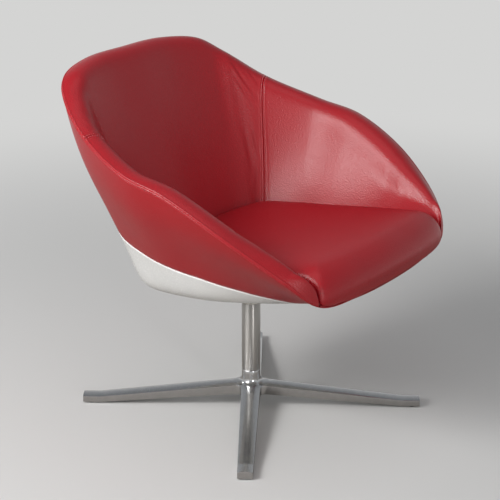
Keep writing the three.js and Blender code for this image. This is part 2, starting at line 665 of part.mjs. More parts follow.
// Closed layer of the tub between two rows and two depths, given as functions of the row. Its edges can slide
// along the profile.
function layer(lowRow, highRow, outerDepth, innerDepth, lowSlide = 0, highSlide = 0) {
  const rows = highRow - lowRow + 1;
  const slideOf = (row) => (row === lowRow ? lowSlide : row === highRow ? highSlide : 0);
  const points = [];
  for (const depth of [outerDepth, innerDepth])
    for (let i = 0; i < sampleCount; i++)
      for (let row = lowRow; row <= highRow; row++) points.push(layerPoint(i, row, depth(row), slideOf(row)));
  const outer = (i, r) => (i % sampleCount) * rows + r;
  const inner = (i, r) => sampleCount * rows + outer(i, r);
  const polygons = [];
  for (let i = 0; i < sampleCount; i++) {
    for (let r = 0; r + 1 < rows; r++) {
      polygons.push([outer(i, r), outer(i, r + 1), outer(i + 1, r + 1), outer(i + 1, r)]);
      polygons.push([inner(i, r), inner(i + 1, r), inner(i + 1, r + 1), inner(i, r + 1)]);
    }
    const top = rows - 1;
    polygons.push([outer(i + 1, top), outer(i, top), inner(i, top), inner(i + 1, top)]);
    polygons.push([outer(i, 0), outer(i + 1, 0), inner(i + 1, 0), inner(i, 0)]);
  }
  return surface(points, polygons);
}

const frameOuter = COVER_WALL + GAP;
const frameInner = frameOuter + FRAME_WALL;
const padOuter = frameInner + GAP;
const onPad = (row) => row <= 1;

// Plastic lower shell: thick where it is clamped over the seat plate and along its turned-in upper edge.
const shellInner = (row) => (onPad(row) || row === edgeRow ? SHELL_EDGE_WALL : SHELL_WALL);
const outerShell = layer(0, edgeRow, () => 0, shellInner, 0, -GAP / 2);
add("seat", "outer_shell", withBoltHoles(outerShell, BOWL_HEIGHT, frameFloor), whitePlastic);

// Leather and foam over the upper outside, tucked back along the shell's edge and thin at the rim seam.
const coverOuter = (row) => (row === edgeRow ? COVER_TUCK : 0);
const coverInner = (row) => (row === rimRow ? COVER_EDGE : COVER_WALL);
add("seat", "outer_cover", layer(edgeRow, rimRow, coverOuter, coverInner, GAP / 2), leather);

// Everything that lies outside the lining, as one cutter: the space outside the tub, the cover with a
// clearance over the rim, and the frame with a clearance over its upper edge.
const outside = () => -2 * SIDE_BULGE;
const cutterLayers = [
  layer(0, rimRow, outside, coverInner, 0, GAP),
  layer(0, rimRow, () => -COVER_TUCK, (row) => coverInner(row) + GAP, 0, GAP),
  layer(0, frameRow, () => COVER_WALL - COVER_TUCK, () => padOuter, 0, FRAME_EDGE_CLEAR),
];
const wallCutter = cutterLayers.map(solidOf).reduce((a, b) => a.add(b));
const shellCutter = solidOf(layer(0, rimRow, () => -2 * SIDE_BULGE, () => frameOuter));

// Board frame of reference: tilted with the underside of the cushion.
const boardTilt = -Math.atan(baseTilt);
const boardTop = (y) => basePlane(y) - GAP;
function onBoard(geometry, x, y) {
  return geometry.clone().rotateX(boardTilt).translate(x, y, boardTop(y));
}
const postPlaces = [
  [-POST_SPREAD, -POST_FRONT],
  [POST_SPREAD, -POST_FRONT],
  [-POST_SPREAD, POST_BACK],
  [POST_SPREAD, POST_BACK],
];
const boardUnder = -BOARD_THICKNESS;
const postTop = boardUnder - GAP;
const postLow = -(CUSHION_BASE_FRONT - BOWL_HEIGHT);

// Moulded frame between cover and lining, with posts for the board.
let frame = solidOf(layer(0, frameRow, () => frameOuter, () => frameInner));
const screwTip = SCREW_HEAD_HEIGHT - SCREW_LENGTH;
for (const [x, y] of postPlaces) {
  const post = solidOf(onBoard(rod(POST_RADIUS, postLow, postTop, ROUND_SMALL), x, y)).subtract(shellCutter);
  const pilot = solidOf(onBoard(rod(SCREW_RADIUS + GAP, screwTip - CUT, postTop + CUT, ROUND_SMALL), x, y));
  const above = post.decompose().reduce((a, b) => (a.boundingBox().max[2] > b.boundingBox().max[2] ? a : b));
  frame = frame.add(above).subtract(pilot);
}
for (const hole of aroundBolts(rod(PLATE_BOLT_RADIUS + GAP, BOWL_HEIGHT, anchorLow, ROUND_SMALL)))
  frame = frame.subtract(solidOf(hole));
add("seat", "tub_frame", geometryOf(frame), blackPlastic);

function boardShape() {
  const w = BOARD_HALF_WIDTH;
  const c = BOARD_CORNER;
  const shape = new THREE.Shape();
  shape.absarc(w - c, BOARD_BACK - c, c, 0, Math.PI / 2, false);
  shape.absarc(c - w, BOARD_BACK - c, c, Math.PI / 2, Math.PI, false);
  shape.absarc(c - w, c - BOARD_FRONT, c, Math.PI, 1.5 * Math.PI, false);
  shape.absarc(w - c, c - BOARD_FRONT, c, 1.5 * Math.PI, 2 * Math.PI, false);
  return shape;
}
const boardBlank = new THREE.ExtrudeGeometry(boardShape(), {
  depth: BOARD_THICKNESS,
  bevelEnabled: false,
  curveSegments: BOARD_CORNER_STEPS,
}).translate(0, 0, boardUnder);
const screwOutline = [
  [0, screwTip],
  [SCREW_RADIUS, screwTip],
  [SCREW_RADIUS, -SCREW_HEAD_HEIGHT],
  [SCREW_HEAD_RADIUS, 0],
  [0, 0],
];
const screwHoleOutline = [
  [0, screwTip - CUT],
  [SCREW_RADIUS + GAP, screwTip - CUT],
  [SCREW_RADIUS + GAP, -SCREW_HEAD_HEIGHT],
  [SCREW_HEAD_RADIUS + GAP, 0],
  [SCREW_HEAD_RADIUS + GAP, CUT],
  [0, CUT],
];
let board = solidOf(onBoard(boardBlank, 0, 0)).subtract(wallCutter);
postPlaces.forEach(([x, y], k) => {
  board = board.subtract(solidOf(onBoard(turned(screwHoleOutline, ROUND_SMALL), x, y)));
  add("seat", `board_screw_${k + 1}`, onBoard(turned(screwOutline, ROUND_SMALL), x, y), zincSteel);
});
add("seat", "seat_board", geometryOf(board), plywood);

// Visible face of a pad at a station: over the rolled rim, then down the hollow wall to the cushion.
function linerControls(station) {
  const inward = inwardAt(station);
  const upward = down.clone().negate();
  const rim = onLoop(rimLoop, station);
  const foot = onSeatLine(station);
  const across = foot.clone().sub(rim).dot(inward);
  const share = Math.min(shareAt(rollShares, station), (ROLL_SPAN_SHARE * across) / ROLL_WIDTH);
  const drop = Math.min(ROLL_DROP * share, (rim.z - foot.z) / 2);
  const wallTop = rim
    .clone()
    .addScaledVector(inward, ROLL_WIDTH * share)
    .addScaledVector(upward, -drop);
  const rise = ROLL_RISE * shareAt(rollRiseShares, station);
  const controls = rollOutlineShares.map(([over, up]) =>
    rim.clone().lerp(wallTop, over).addScaledVector(upward, rise * up),
  );
  controls[0].copy(rimLip(station));
  controls.push(wallTop);
  for (const along of wallOutlineShares)
    controls.push(wallTop.clone().lerp(foot, along).addScaledVector(inward, -WALL_HOLLOW * share));
  controls.push(foot);
  return controls;
}
// Start of a pad just over the rim seam.
function rimLip(station) {
  const top = tubPoint(station, 1);
  const way = top.clone().sub(tubPoint(station, 1 - UP_NUDGE_SHARE)).normalize();
  return top.addScaledVector(way, GAP);
}

// Share of the tub's profile at a height.
function shareAtHeight(station, height) {
  let low = PROFILE_LEAST_SHARE;
  let high = 1;
  for (let k = 0; k < HALVINGS; k++) {
    const middle = (low + high) / 2;
    if (tubPoint(station, middle).z < height) low = middle;
    else high = middle;
  }
  return low;
}

// Section of a pad at a station. Its back runs inside the tub's wall and is cut off there afterwards.
function padSection(station) {
  const controls = linerControls(station);
  const points = [];
  for (let k = 0; k <= LINER_STEPS; k++) points.push(blendPoint(controls, k / LINER_STEPS));
  const foot = points[points.length - 1];
  const inward = inwardAt(station);
  const rounding = THREE.MathUtils.smoothstep(Math.abs(station), armStation - TIP_ROUNDING_SHARE, armEnd);
  const base = basePlane(foot.y);
  const level = THREE.MathUtils.lerp(base, onLoop(rimLoop, station).z, rounding);
  points.push(foot.clone().addScaledVector(inward, -PAD_FOOT_DRAW).setZ(level));
  const from = THREE.MathUtils.lerp(shareAtHeight(station, base), TIP_BACK_SHARE, rounding);
  for (let k = 0; k <= BACKING_STEPS; k++) {
    const t = THREE.MathUtils.lerp(from, PAD_TOP_SHARE, k / BACKING_STEPS);
    const here = tubPoint(station, t);
    const up = tubPoint(station, t + UP_NUDGE_SHARE).sub(here).normalize();
    const around = tubPoint(station + ALONG_NUDGE_SHARE, t).sub(tubPoint(station - ALONG_NUDGE_SHARE, t));
    points.push(here.addScaledVector(up.cross(around).normalize(), PAD_BACKING));
  }
  return points;
}

// Pad swept through its sections. Its end sections are moved in by half the gap of a seam.
function padGeometry(from, to) {
  const stations = [from];
  for (let k = Math.ceil(from * STATION_STEPS); k <= Math.floor(to * STATION_STEPS); k++) {
    const station = k / STATION_STEPS;
    if (station > from + ALONG_NUDGE_SHARE && station < to - ALONG_NUDGE_SHARE) stations.push(station);
  }
  stations.push(to);
  const sections = stations.map(padSection);
  for (const p of sections[0]) p.addScaledVector(alongAt(from), PAD_SEAM_GAP / 2);
  for (const p of sections[sections.length - 1]) p.addScaledVector(alongAt(to), -PAD_SEAM_GAP / 2);
  const points = sections.flat();
  const n = sections[0].length;
  const polygons = [];
  for (let i = 0; i + 1 < stations.length; i++)
    for (let k = 0; k < n; k++) {
      const a = i * n + k;
      const b = i * n + ((k + 1) % n);
      polygons.push([a, b, b + n, a + n]);
    }
  for (const end of [0, stations.length - 1]) {
    const inward = inwardAt(stations[end]);
    const flat = points.slice(end * n, end * n + n).map((p) => new THREE.Vector2(p.dot(inward), p.z));
    const area = THREE.ShapeUtils.area(flat);
    for (const face of THREE.ShapeUtils.triangulateShape(flat, [])) {
      const along = THREE.ShapeUtils.area(face.map((k) => flat[k])) * area > 0;
      const polygon = face.map((k) => k + end * n);
      polygons.push(along === (end === 0) ? polygon.reverse() : polygon);
    }
  }
  let solid = solidOf(surface(points, polygons));
  if (solid.volume() < 0) solid = solidOf(surface(points, polygons.map((p) => [...p].reverse())));
  const pieces = solid.subtract(wallCutter).decompose();
  return geometryOf(pieces.reduce((a, b) => (a.volume() > b.volume() ? a : b)));
}
add("seat", "back_pad", padGeometry(-seamStation, seamStation), leather);
add("seat", "arm_pad_left", padGeometry(seamStation, armEnd), leather);
add("seat", "arm_pad_right", padGeometry(-armEnd, -seamStation), leather);

// Seat cushion: an outline of edge points, then rings up over the crown and down to the hem.
function cushionOutline() {
  const edge = [];
  const steps = armStation * STATION_STEPS;
  for (let k = -steps; k <= steps; k++) {
    const station = k / STATION_STEPS;
    const drop = shareAt(seatShares.map((row) => row[2]), station);
    edge.push({ point: onSeatLine(station), drop });
  }
  const corner = seatHalf[armStation];
  for (let k = 1; k <= FRONT_STEPS; k++) {
    const angle = (k * Math.PI) / (FRONT_STEPS + 1);
    const x = corner.x * Math.cos(angle);
    const y = corner.y - CUSHION_BOW * Math.sin(angle);
    edge.push({ point: new THREE.Vector3(x, y, seatPlane(y) - CUSHION_NOSE), drop: 1 });
  }
  return edge;
}

function cushionGeometry() {
  const outline = cushionOutline();
  const n = outline.length;
  const centre = new THREE.Vector3(0, -CUSHION_CENTRE, 0);
  const inset = (point, distance) => {
    const way = centre.clone().sub(point).setZ(0);
    return point.clone().addScaledVector(way.normalize(), distance);
  };
  const hem = (drop) => THREE.MathUtils.lerp(CUSHION_HEM, CUSHION_FRONT_HEM, drop);
  const crown = (distance) => CUSHION_CROWN * (1 - Math.exp(-distance / CUSHION_CROWN_SPREAD));
  const nose = (distance) => {
    const left = 1 - Math.min(distance / CUSHION_NOSE_DEPTH, 1);
    return CUSHION_NOSE * (1 - Math.sqrt(1 - left * left));
  };
  const points = [];
  const hemShares = [2.6, 1];
  for (const share of hemShares)
    for (const { point, drop } of outline) {
      const p = inset(point, hem(drop) * share);
      points.push(p.setZ(basePlane(p.y) + GAP));
    }
  const drawShares = [[0.55, 0.2], [1, 0.55]]; // of the sides' draw and of the height
  for (const [drawShare, heightShare] of drawShares)
    for (const { point, drop } of outline) {
      const slope = hem(drop) * (1 - heightShare) * FRONT_SLOPE_SHARE;
      const distance = THREE.MathUtils.lerp(CUSHION_DRAW * drawShare, slope, drop);
      const p = inset(point, distance + GAP);
      points.push(p.setZ(THREE.MathUtils.lerp(basePlane(p.y) + GAP, point.z, heightShare)));
    }
  const topInsetShares = [0, 0.06, 0.18, 0.4, 0.7, 1.2, 2.2]; // of the nose's depth
  for (const share of topInsetShares)
    for (const { point, drop } of outline) {
      const distance = share * CUSHION_NOSE_DEPTH;
      const p = inset(point, distance + GAP);
      points.push(p.setZ(seatPlane(p.y) + crown(distance) - nose(distance) * drop));
    }
  const rings = points.length / n;
  const polygons = [];
  for (let r = 0; r + 1 < rings; r++)
    for (let k = 0; k < n; k++) {
      const a = r * n + k;
      const b = r * n + ((k + 1) % n);
      polygons.push([a, a + n, b + n, b]);
    }
  const under = points.push(centre.clone().setZ(basePlane(centre.y) + GAP)) - 1;
  const over = points.push(centre.clone().setZ(seatPlane(centre.y) + CUSHION_CROWN)) - 1;
  for (let k = 0; k < n; k++) {
    const next = (k + 1) % n;
    polygons.push([under, k, next]);
    polygons.push([over, (rings - 1) * n + next, (rings - 1) * n + k]);
  }
  let solid = solidOf(surface(points, polygons));
  if (solid.volume() < 0) solid = solidOf(surface(points, polygons.map((p) => [...p].reverse())));
  return geometryOf(solid.subtract(wallCutter));
}
add("seat", "seat_cushion", cushionGeometry(), leather);

const chair = new THREE.Group();
for (const body of Object.values(parts)) chair.add(new THREE.Group().add(...body));
// The origin lies on the floor under the middle of the chair's outline, a little ahead of the column.
chair.position.y = (SEAT_FRONT_REACH + CUSHION_BOW - RIM_BACK_REACH) / 2;

export default chair;
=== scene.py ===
import json
import math

import bmesh
import bpy
import numpy as np
from mathutils import Matrix, Vector
from mathutils.bvhtree import BVHTree


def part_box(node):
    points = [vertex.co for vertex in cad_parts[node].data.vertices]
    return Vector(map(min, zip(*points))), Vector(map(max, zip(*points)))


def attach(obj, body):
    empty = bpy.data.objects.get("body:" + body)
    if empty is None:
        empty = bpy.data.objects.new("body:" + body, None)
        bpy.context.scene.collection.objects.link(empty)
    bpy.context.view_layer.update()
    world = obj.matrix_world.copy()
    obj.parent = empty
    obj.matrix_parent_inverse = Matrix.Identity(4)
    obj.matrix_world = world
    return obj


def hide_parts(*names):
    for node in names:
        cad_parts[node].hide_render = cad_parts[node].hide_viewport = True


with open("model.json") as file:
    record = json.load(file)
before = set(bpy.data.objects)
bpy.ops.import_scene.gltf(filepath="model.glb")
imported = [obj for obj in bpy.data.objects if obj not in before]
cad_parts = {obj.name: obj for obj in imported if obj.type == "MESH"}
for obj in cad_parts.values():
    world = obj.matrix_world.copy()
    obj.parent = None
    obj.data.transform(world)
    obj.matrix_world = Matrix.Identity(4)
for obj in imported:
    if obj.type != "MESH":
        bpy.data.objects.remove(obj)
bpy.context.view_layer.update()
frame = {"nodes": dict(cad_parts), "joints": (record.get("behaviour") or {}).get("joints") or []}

column_y = frame["joints"][0]["pos_m"][1]
scene = bpy.context.scene


# Camera: at standing height, to the right of a sitter who looks ahead, with a long lens. The foot of the column
# lands a little below the middle of the picture, which is taken as 500 by 500.
def new_object(name, data):
    """Object of the scene that carries a mesh, a lamp or a camera."""
    thing = bpy.data.objects.new(name, data)
    scene.collection.objects.link(thing)
    return thing


picture, lens_in_pixels = 500, 1605
camera_azimuth, camera_elevation = math.radians(-55.8), math.radians(24.7)
camera_distance = 3.5217
column_foot_at = (251.2, 402.3)

camera_data = bpy.data.cameras.new("camera")
camera_data.sensor_width = 36
camera_data.lens = lens_in_pixels * camera_data.sensor_width / picture
camera_data.clip_start, camera_data.clip_end = 0.1, 200
camera = new_object("camera", camera_data)
scene.camera = camera
camera.location = camera_distance * Vector((
    math.sin(camera_azimuth) * math.cos(camera_elevation),
    -math.cos(camera_azimuth) * math.cos(camera_elevation),
    math.sin(camera_elevation),
)) + Vector((0, column_y, 0))
down_from_centre = (column_foot_at[1] - picture / 2) / lens_in_pixels
right_of_centre = (column_foot_at[0] - picture / 2) / lens_in_pixels
camera.rotation_euler = (
    math.pi / 2 - camera_elevation + math.atan(down_from_centre),
    0,
    camera_azimuth + math.atan(right_of_centre),
)
scene.view_settings.view_transform = "Standard"


# Floor of the studio: one pale matt sheet that carries the chair's shadow out to the horizon.
def linear(colour):
    """Linear colour of an sRGB hex value."""
    shares = [int(colour[k:k + 2], 16) / 255 for k in (1, 3, 5)]
    return tuple(c / 12.92 if c <= 0.04045 else ((c + 0.055) / 1.055) ** 2.4 for c in shares) + (1.0,)


def add(tree, kind, links=None, **settings):
    """Adds a shader node with its settings and its links. A name that starts with in_ sets an input socket, where a
    hex value is a colour. A link comes from a socket, or from the first socket of a node."""
    node = tree.nodes.new("ShaderNode" + kind)
    for name, value in settings.items():
        if name.startswith("in_"):
            key = name[3:].replace("_", " ")
            socket = node.inputs[int(key)] if key.isdigit() else node.inputs[key]
            socket.default_value = linear(value) if isinstance(value, str) else value
        else:
            setattr(node, name, value)
    for key, source in (links or {}).items():
        tree.links.new(source.outputs[0] if isinstance(source, bpy.types.Node) else source, node.inputs[key])
    return node


def new_material(name):
    """Empty material with its node tree, and the place on the object, in metres, that its patterns go by."""
    material = bpy.data.materials.new(name)
    material.use_nodes = True
    tree = material.node_tree
    tree.nodes.clear()
    return material, tree, add(tree, "TexCoord").outputs["Object"]


# Near the chair it is lit paint with a shadow. Further off it fades to the even pale grey of the backdrop, which
# the camera and every reflection see alike.
backdrop_grey = "#d4d4d3"
fade_from, fade_to, floor_reach = 0.7, 2.6, 60
floor_paint, tree, place = new_material("matt_floor_paint")
distance = add(tree, "VectorMath", {0: place}, operation="LENGTH")
far_off = add(tree, "MapRange", {"Value": distance.outputs["Value"]}, interpolation_type="SMOOTHSTEP",
              in_1=fade_from, in_2=fade_to)
ray = add(tree, "LightPath")
seen = add(tree, "Math", {0: ray.outputs["Is Camera Ray"], 1: ray.outputs["Is Glossy Ray"]}, operation="MAXIMUM")
seen = add(tree, "Math", {0: seen, 1: ray.outputs["Is Transmission Ray"]}, operation="MAXIMUM")
share = add(tree, "Math", {0: far_off, 1: seen}, operation="MULTIPLY")
# The camera sees pale paint. Light and reflections find a darker floor, because a pale one washes out the leather.
shade = add(tree, "Mix", {0: ray.outputs["Is Camera Ray"]}, data_type="RGBA", in_6="#a39e98", in_7="#d2d1cf")
paint = add(tree, "BsdfPrincipled", {"Base Color": shade.outputs[2]}, in_Roughness=0.85)
even = add(tree, "Emission", in_Color=backdrop_grey, in_Strength=1.0)
shader = add(tree, "MixShader", {0: share, 1: paint, 2: even})
add(tree, "OutputMaterial", {"Surface": shader})
bm = bmesh.new()
bmesh.ops.create_grid(bm, x_segments=2, y_segments=2, size=floor_reach)
mesh = bpy.data.meshes.new("floor")
bm.to_mesh(mesh)
bm.free()
mesh.materials.append(floor_paint)
floor = new_object("floor", mesh)

# Light: a large softbox at the camera's left, as from a window there, with a small bright one beside it that draws
# the highlight on the far arm. A narrow one stands in front, a weak one hangs overhead, and the room is grey.
world = bpy.data.worlds.new("studio")
scene.world = world
world.use_nodes = True
tree = world.node_tree
tree.nodes.clear()
way_out = add(tree, "TexCoord")
height = add(tree, "SeparateXYZ", {0: way_out.outputs["Generated"]})
ramp = add(tree, "ValToRGB", {0: height.outputs["Z"]})
ramp.color_ramp.elements[0].position = 0.0
ramp.color_ramp.elements[0].color = linear(backdrop_grey)
ramp.color_ramp.elements[1].position = 0.85
ramp.color_ramp.elements[1].color = linear("#808285")
ramp.color_ramp.elements.new(0.35).color = linear("#a4a6a8")
background = add(tree, "Background", {"Color": ramp}, in_Strength=1.0)
add(tree, "OutputWorld", {"Surface": background})
lamps_aim_at = Vector((0, 0, 0.45))
for name, at, width, height, watts in (("softbox_left", (-3.4, 1.05, 2.15), 3.2, 2.2, 62),
                                       ("softbox_left_core", (-2.8, 1.25, 2.6), 1.3, 1.1, 76),
                                       ("softbox_front", (-2.1, -3.5, 1.2), 0.4, 1.8, 24),
                                       ("softbox_above", (-0.2, -0.6, 4.2), 3.0, 3.0, 18)):
    light = bpy.data.lights.new(name, "AREA")
    light.shape, light.size, light.size_y, light.energy = "RECTANGLE", width, height, watts
    lamp = new_object(name, light)
    lamp.location = at
    lamp.rotation_euler = (lamps_aim_at - lamp.location).to_track_quat("-Z", "Y").to_euler()


# Sheets and solids. Every piece is made about the column's axis and then moved to the chair's origin, which lies
# a little in front of it.
def skin(points, closed_u=False, closed_v=False):
    """Bmesh of quads through a grid of points, which can close on itself both ways."""
    if closed_u:
        points = np.concatenate([points, points[:1]], 0)
    if closed_v:
        points = np.concatenate([points, points[:, :1]], 1)
    across, along = points.shape[0] - 1, points.shape[1] - 1
    bm = bmesh.new()
    bmesh.ops.create_grid(bm, x_segments=across, y_segments=along, size=1)
    for vert in bm.verts:
        u = round((vert.co.x + 1) / 2 * across)
        v = round((vert.co.y + 1) / 2 * along)
        vert.co = points[u, v]
    bmesh.ops.remove_doubles(bm, verts=bm.verts, dist=1e-6)
    return bm


def close_up(bm):
    """Fills open ends and turns all the faces outwards."""
    open_edges = [e for e in bm.edges if e.is_boundary]
    if open_edges:
        bmesh.ops.holes_fill(bm, edges=open_edges, sides=0)
    bmesh.ops.recalc_face_normals(bm, faces=bm.faces)


def soften(bm, width, least_angle):
    """Rounds every edge that is sharper than an angle in degrees."""
    sharp = [e for e in bm.edges if len(e.link_faces) == 2 and e.calc_face_angle(0) > math.radians(least_angle)]
    bmesh.ops.bevel(bm, geom=sharp, offset=width, offset_type="OFFSET", segments=3, profile=0.5,
                    affect="EDGES", clamp_overlap=True, material=-1)


def finish_piece(name, bm, body, material, stands_for=()):
    """Makes the piece's object, in place, with its finish, on its body."""
    bmesh.ops.translate(bm, verts=bm.verts, vec=(0, column_y, 0))
    mesh = bpy.data.meshes.new(name)
    bm.to_mesh(mesh)
    bm.free()
    mesh.materials.append(material)
    mesh.shade_smooth()
    piece = new_object(name, mesh)
    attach(piece, body)
    if stands_for:
        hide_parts(*stands_for)
    return piece


def turned(outline, steps=96):
    """Turned solid: an outline of (radius, height) spun round the column's axis."""
    bm = bmesh.new()
    verts = [bm.verts.new((r, 0, z)) for r, z in outline]
    for k in range(len(verts) - 1):
        bm.edges.new((verts[k], verts[k + 1]))
    if outline[0][0] > 0:
        bm.edges.new((verts[-1], verts[0]))
    bmesh.ops.spin(bm, geom=bm.verts[:] + bm.edges[:], cent=(0, 0, 0), axis=(0, 0, 1), angle=2 * math.pi,
                   steps=steps, use_merge=True, use_duplicate=False)
    bmesh.ops.remove_doubles(bm, verts=bm.verts, dist=1e-6)
    bmesh.ops.recalc_face_normals(bm, faces=bm.faces)
    return bm


# Cast foot: hand-polished aluminium, sand cast in one piece. Four low legs with a rounded ridge run out of a hub,
# which draws in to a collar as wide as the column. A spigot on it goes up inside the column.
polished, tree, place = new_material("polished_cast_aluminium")
# Hand polishing leaves soft waves of 12 mm and fine scratches, drawn 1 mm wide so that they show.
waves = add(tree, "TexNoise", {"Vector": place}, in_Scale=85.0, in_Detail=2.0)
scratches = add(tree, "TexNoise", {"Vector": place}, in_Scale=900.0, in_Detail=2.0)
rough = add(tree, "MapRange", {"Value": waves}, in_3=0.12, in_4=0.3)
tint = add(tree, "Mix", {0: waves}, data_type="RGBA", in_6="#c3c4c6", in_7="#d4d4d4")
relief = add(tree, "Bump", {"Height": scratches}, in_Strength=0.06, in_Distance=0.0006)
relief = add(tree, "Bump", {"Height": waves, "Normal": relief}, in_Strength=0.10, in_Distance=0.002)
shader = add(tree, "BsdfPrincipled", {"Base Color": tint.outputs[2], "Roughness": rough, "Normal": relief},
             in_Metallic=1.0)
add(tree, "OutputMaterial", {"Surface": shader})

foot_reach, leg_flat, leg_end_half, leg_hub_half = 0.366, 0.036, 0.0155, 0.0205
leg_under_end, leg_end_side, leg_end_roof = 0.003, 0.013, 0.0025
hub_under, leg_hub_side, leg_hub_roof, hub_fillet = 0.030, 0.020, 0.005, 0.014
column_radius, column_wall, hub_top, spigot_rise = 0.020, 0.0025, 0.082, 0.028
bolt_radius, bolt_clear, washer_radius, pocket_depth = 0.006, 0.0005, 0.0125, 0.012
leg_turns = [math.radians(-57.7 + 90 * k) for k in range(4)]
bend = foot_reach - leg_flat
ridge_power = 2.4
# Places across a leg, from -1 at one edge to 1 at the other, closer together towards the edges.
across = [math.copysign(1 - (1 - abs(k) / 10) ** 1.35, k) for k in range(-10, 11)]


def leg_heights(r):
    """Underside, shoulder and ridge of a leg at a distance from the column's axis."""
    x = min(max((r - leg_hub_half) / (bend - leg_hub_half), 0), 1)
    under = hub_under + (leg_under_end - hub_under) * x
    shoulder = hub_under + leg_hub_side + (leg_under_end + leg_end_side - hub_under - leg_hub_side) * x
    return under, shoulder, shoulder + leg_hub_roof + (leg_end_roof - leg_hub_roof) * x


def leg_row(reach_middle, edge, top):
    """Row across a leg, from one edge to the other, on its roof or on its underside."""
    row = []
    for s in across:
        x = reach_middle - (reach_middle - edge[0]) * s * s
        under, shoulder, ridge = leg_heights(x)
        crown = (1 - abs(s) ** ridge_power) * (ridge - shoulder)
        row.append((edge[1] * s, -x, shoulder + crown if top else under))
    return row


# Plan of a leg: the reach of each row at its middle, and its edge. The last rows follow the fillet between legs.
straight_from, fillet_rows = leg_hub_half + hub_fillet, 7
reaches = [foot_reach, foot_reach - 0.002] + [foot_reach - leg_flat * k / 5 for k in range(1, 5)]
reaches += [bend + 0.003, bend, bend - 0.003] + list(np.linspace(bend - 0.012, straight_from + 0.004, 22))
plan = []
for r in reaches:
    half = leg_hub_half + (leg_end_half - leg_hub_half) * (r - leg_hub_half) / (foot_reach - leg_hub_half)
    plan.append((r, (r, half)))
for k in range(fillet_rows + 1):
    turn = math.pi / 4 * k / fillet_rows
    edge = (straight_from - hub_fillet * math.sin(turn), straight_from - hub_fillet * math.cos(turn))
    middle = straight_from + 0.004 + (math.hypot(*edge) - straight_from - 0.004) * (k / fillet_rows)
    plan.append((max(middle, edge[0]), edge))
diagonal = math.hypot(*plan[-1][1])
top_rows = [leg_row(middle, edge, True) for middle, edge in plan]
under_rows = [leg_row(middle, edge, False) for middle, edge in plan]


def ring_row(radius, height):
    """Row of a quarter ring, over the same places as a row across a leg."""
    return [(radius * math.sin(s * math.pi / 4), -radius * math.cos(s * math.pi / 4), height) for s in across]


# Rounded draw-in from the legs' roofs to the collar, as shares of its width and of its rise.
collar_shares = [(0.8, 0.004), (0.62, 0.02), (0.46, 0.055), (0.32, 0.12), (0.2, 0.22), (0.11, 0.36), (0.05, 0.53),
                 (0.015, 0.72), (0.0, 0.9)]
hub_rows = []
skirt_top = hub_under + leg_hub_side + 0.018
for out, up in collar_shares:
    ring = ring_row(column_radius + (diagonal - column_radius) * out, 0)
    hub_rows.append([(x, y, z + (skirt_top - z) * up) for (x, y, _), (_, _, z) in zip(ring, top_rows[-1])])
spigot_radius, spigot_top = column_radius - column_wall - 0.0003, hub_top + spigot_rise
bore, pocket, pocket_top = bolt_radius + bolt_clear, washer_radius + bolt_clear, hub_under + pocket_depth
rings = [(column_radius, skirt_top + 0.003), (column_radius, hub_top - 0.0012), (column_radius - 0.0006, hub_top),
         (spigot_radius, hub_top), (spigot_radius, spigot_top), (bore, spigot_top), (bore, pocket_top),
         (pocket, pocket_top), (pocket, hub_under), (column_radius + 0.004, hub_under)]
rows = top_rows + hub_rows + [ring_row(r, z) for r, z in rings] + under_rows[::-1]
sector = np.array(rows).transpose(1, 0, 2)
foot_bm = bmesh.new()
for turn in leg_turns:
    bm = skin(sector)
    bmesh.ops.rotate(bm, verts=bm.verts, cent=(0, 0, 0), matrix=Matrix.Rotation(turn, 3, "Z"))
    part = bpy.data.meshes.new("leg")
    bm.to_mesh(part)
    bm.free()
    foot_bm.from_mesh(part)
    bpy.data.meshes.remove(part)
bmesh.ops.remove_doubles(foot_bm, verts=foot_bm.verts, dist=1e-5)
bmesh.ops.bridge_loops(foot_bm, edges=[e for e in foot_bm.edges if e.is_boundary])
close_up(foot_bm)
soften(foot_bm, 0.0016, 42)
finish_piece("cast_foot", foot_bm, "base", polished, ["base_star"])

# Glides: four discs moulded in black polythene, with a matt spark-eroded face, and pressed into the legs by a pin
# so that the foot clears the floor by 3 mm.
glide_plastic, tree, place = new_material("moulded_black_polythene")
spark = add(tree, "TexNoise", {"Vector": place}, in_Scale=1400.0, in_Detail=1.0)
relief = add(tree, "Bump", {"Height": spark}, in_Strength=0.15, in_Distance=0.0004)
rough = add(tree, "MapRange", {"Value": spark}, in_3=0.5, in_4=0.65)
shader = add(tree, "BsdfPrincipled", {"Roughness": rough, "Normal": relief}, in_Base_Color="#222324", in_IOR=1.5)
add(tree, "OutputMaterial", {"Surface": shader})
glide_outline = [(0, 0), (0.0112, 0), (0.012, 0.0008), (0.012, 0.0027), (0.0035, 0.0027), (0.0035, 0.0107),
                 (0, 0.0107)]
for k, turn in enumerate(leg_turns):
    bm = turned(glide_outline, 40)
    at = foot_reach - leg_flat / 2
    bmesh.ops.translate(bm, verts=bm.verts, vec=(math.sin(turn) * at, -math.cos(turn) * at, 0))
    finish_piece(f"glide_disc_{k + 1}", bm, "base", glide_plastic, [f"glide_{k + 1}"])

# Column: drawn steel tube, 40 mm across, turned and brushed round its axis and then lacquered. It is clamped to the
# foot by a bolt through the hub, and the swivel sits in its upper end.
brushed, tree, place = new_material("brushed_steel")
# The brushing runs round the tube, in lines of about 0.2 mm that are drawn 0.8 mm high.
lay = add(tree, "Mapping", {"Vector": place}, in_3=(30.0, 30.0, 1300.0))
lines = add(tree, "TexNoise", {"Vector": lay}, in_Scale=1.0, in_Detail=3.0)
rough = add(tree, "MapRange", {"Value": lines}, in_3=0.34, in_4=0.46)
relief = add(tree, "Bump", {"Height": lines}, in_Strength=0.04, in_Distance=0.0002)
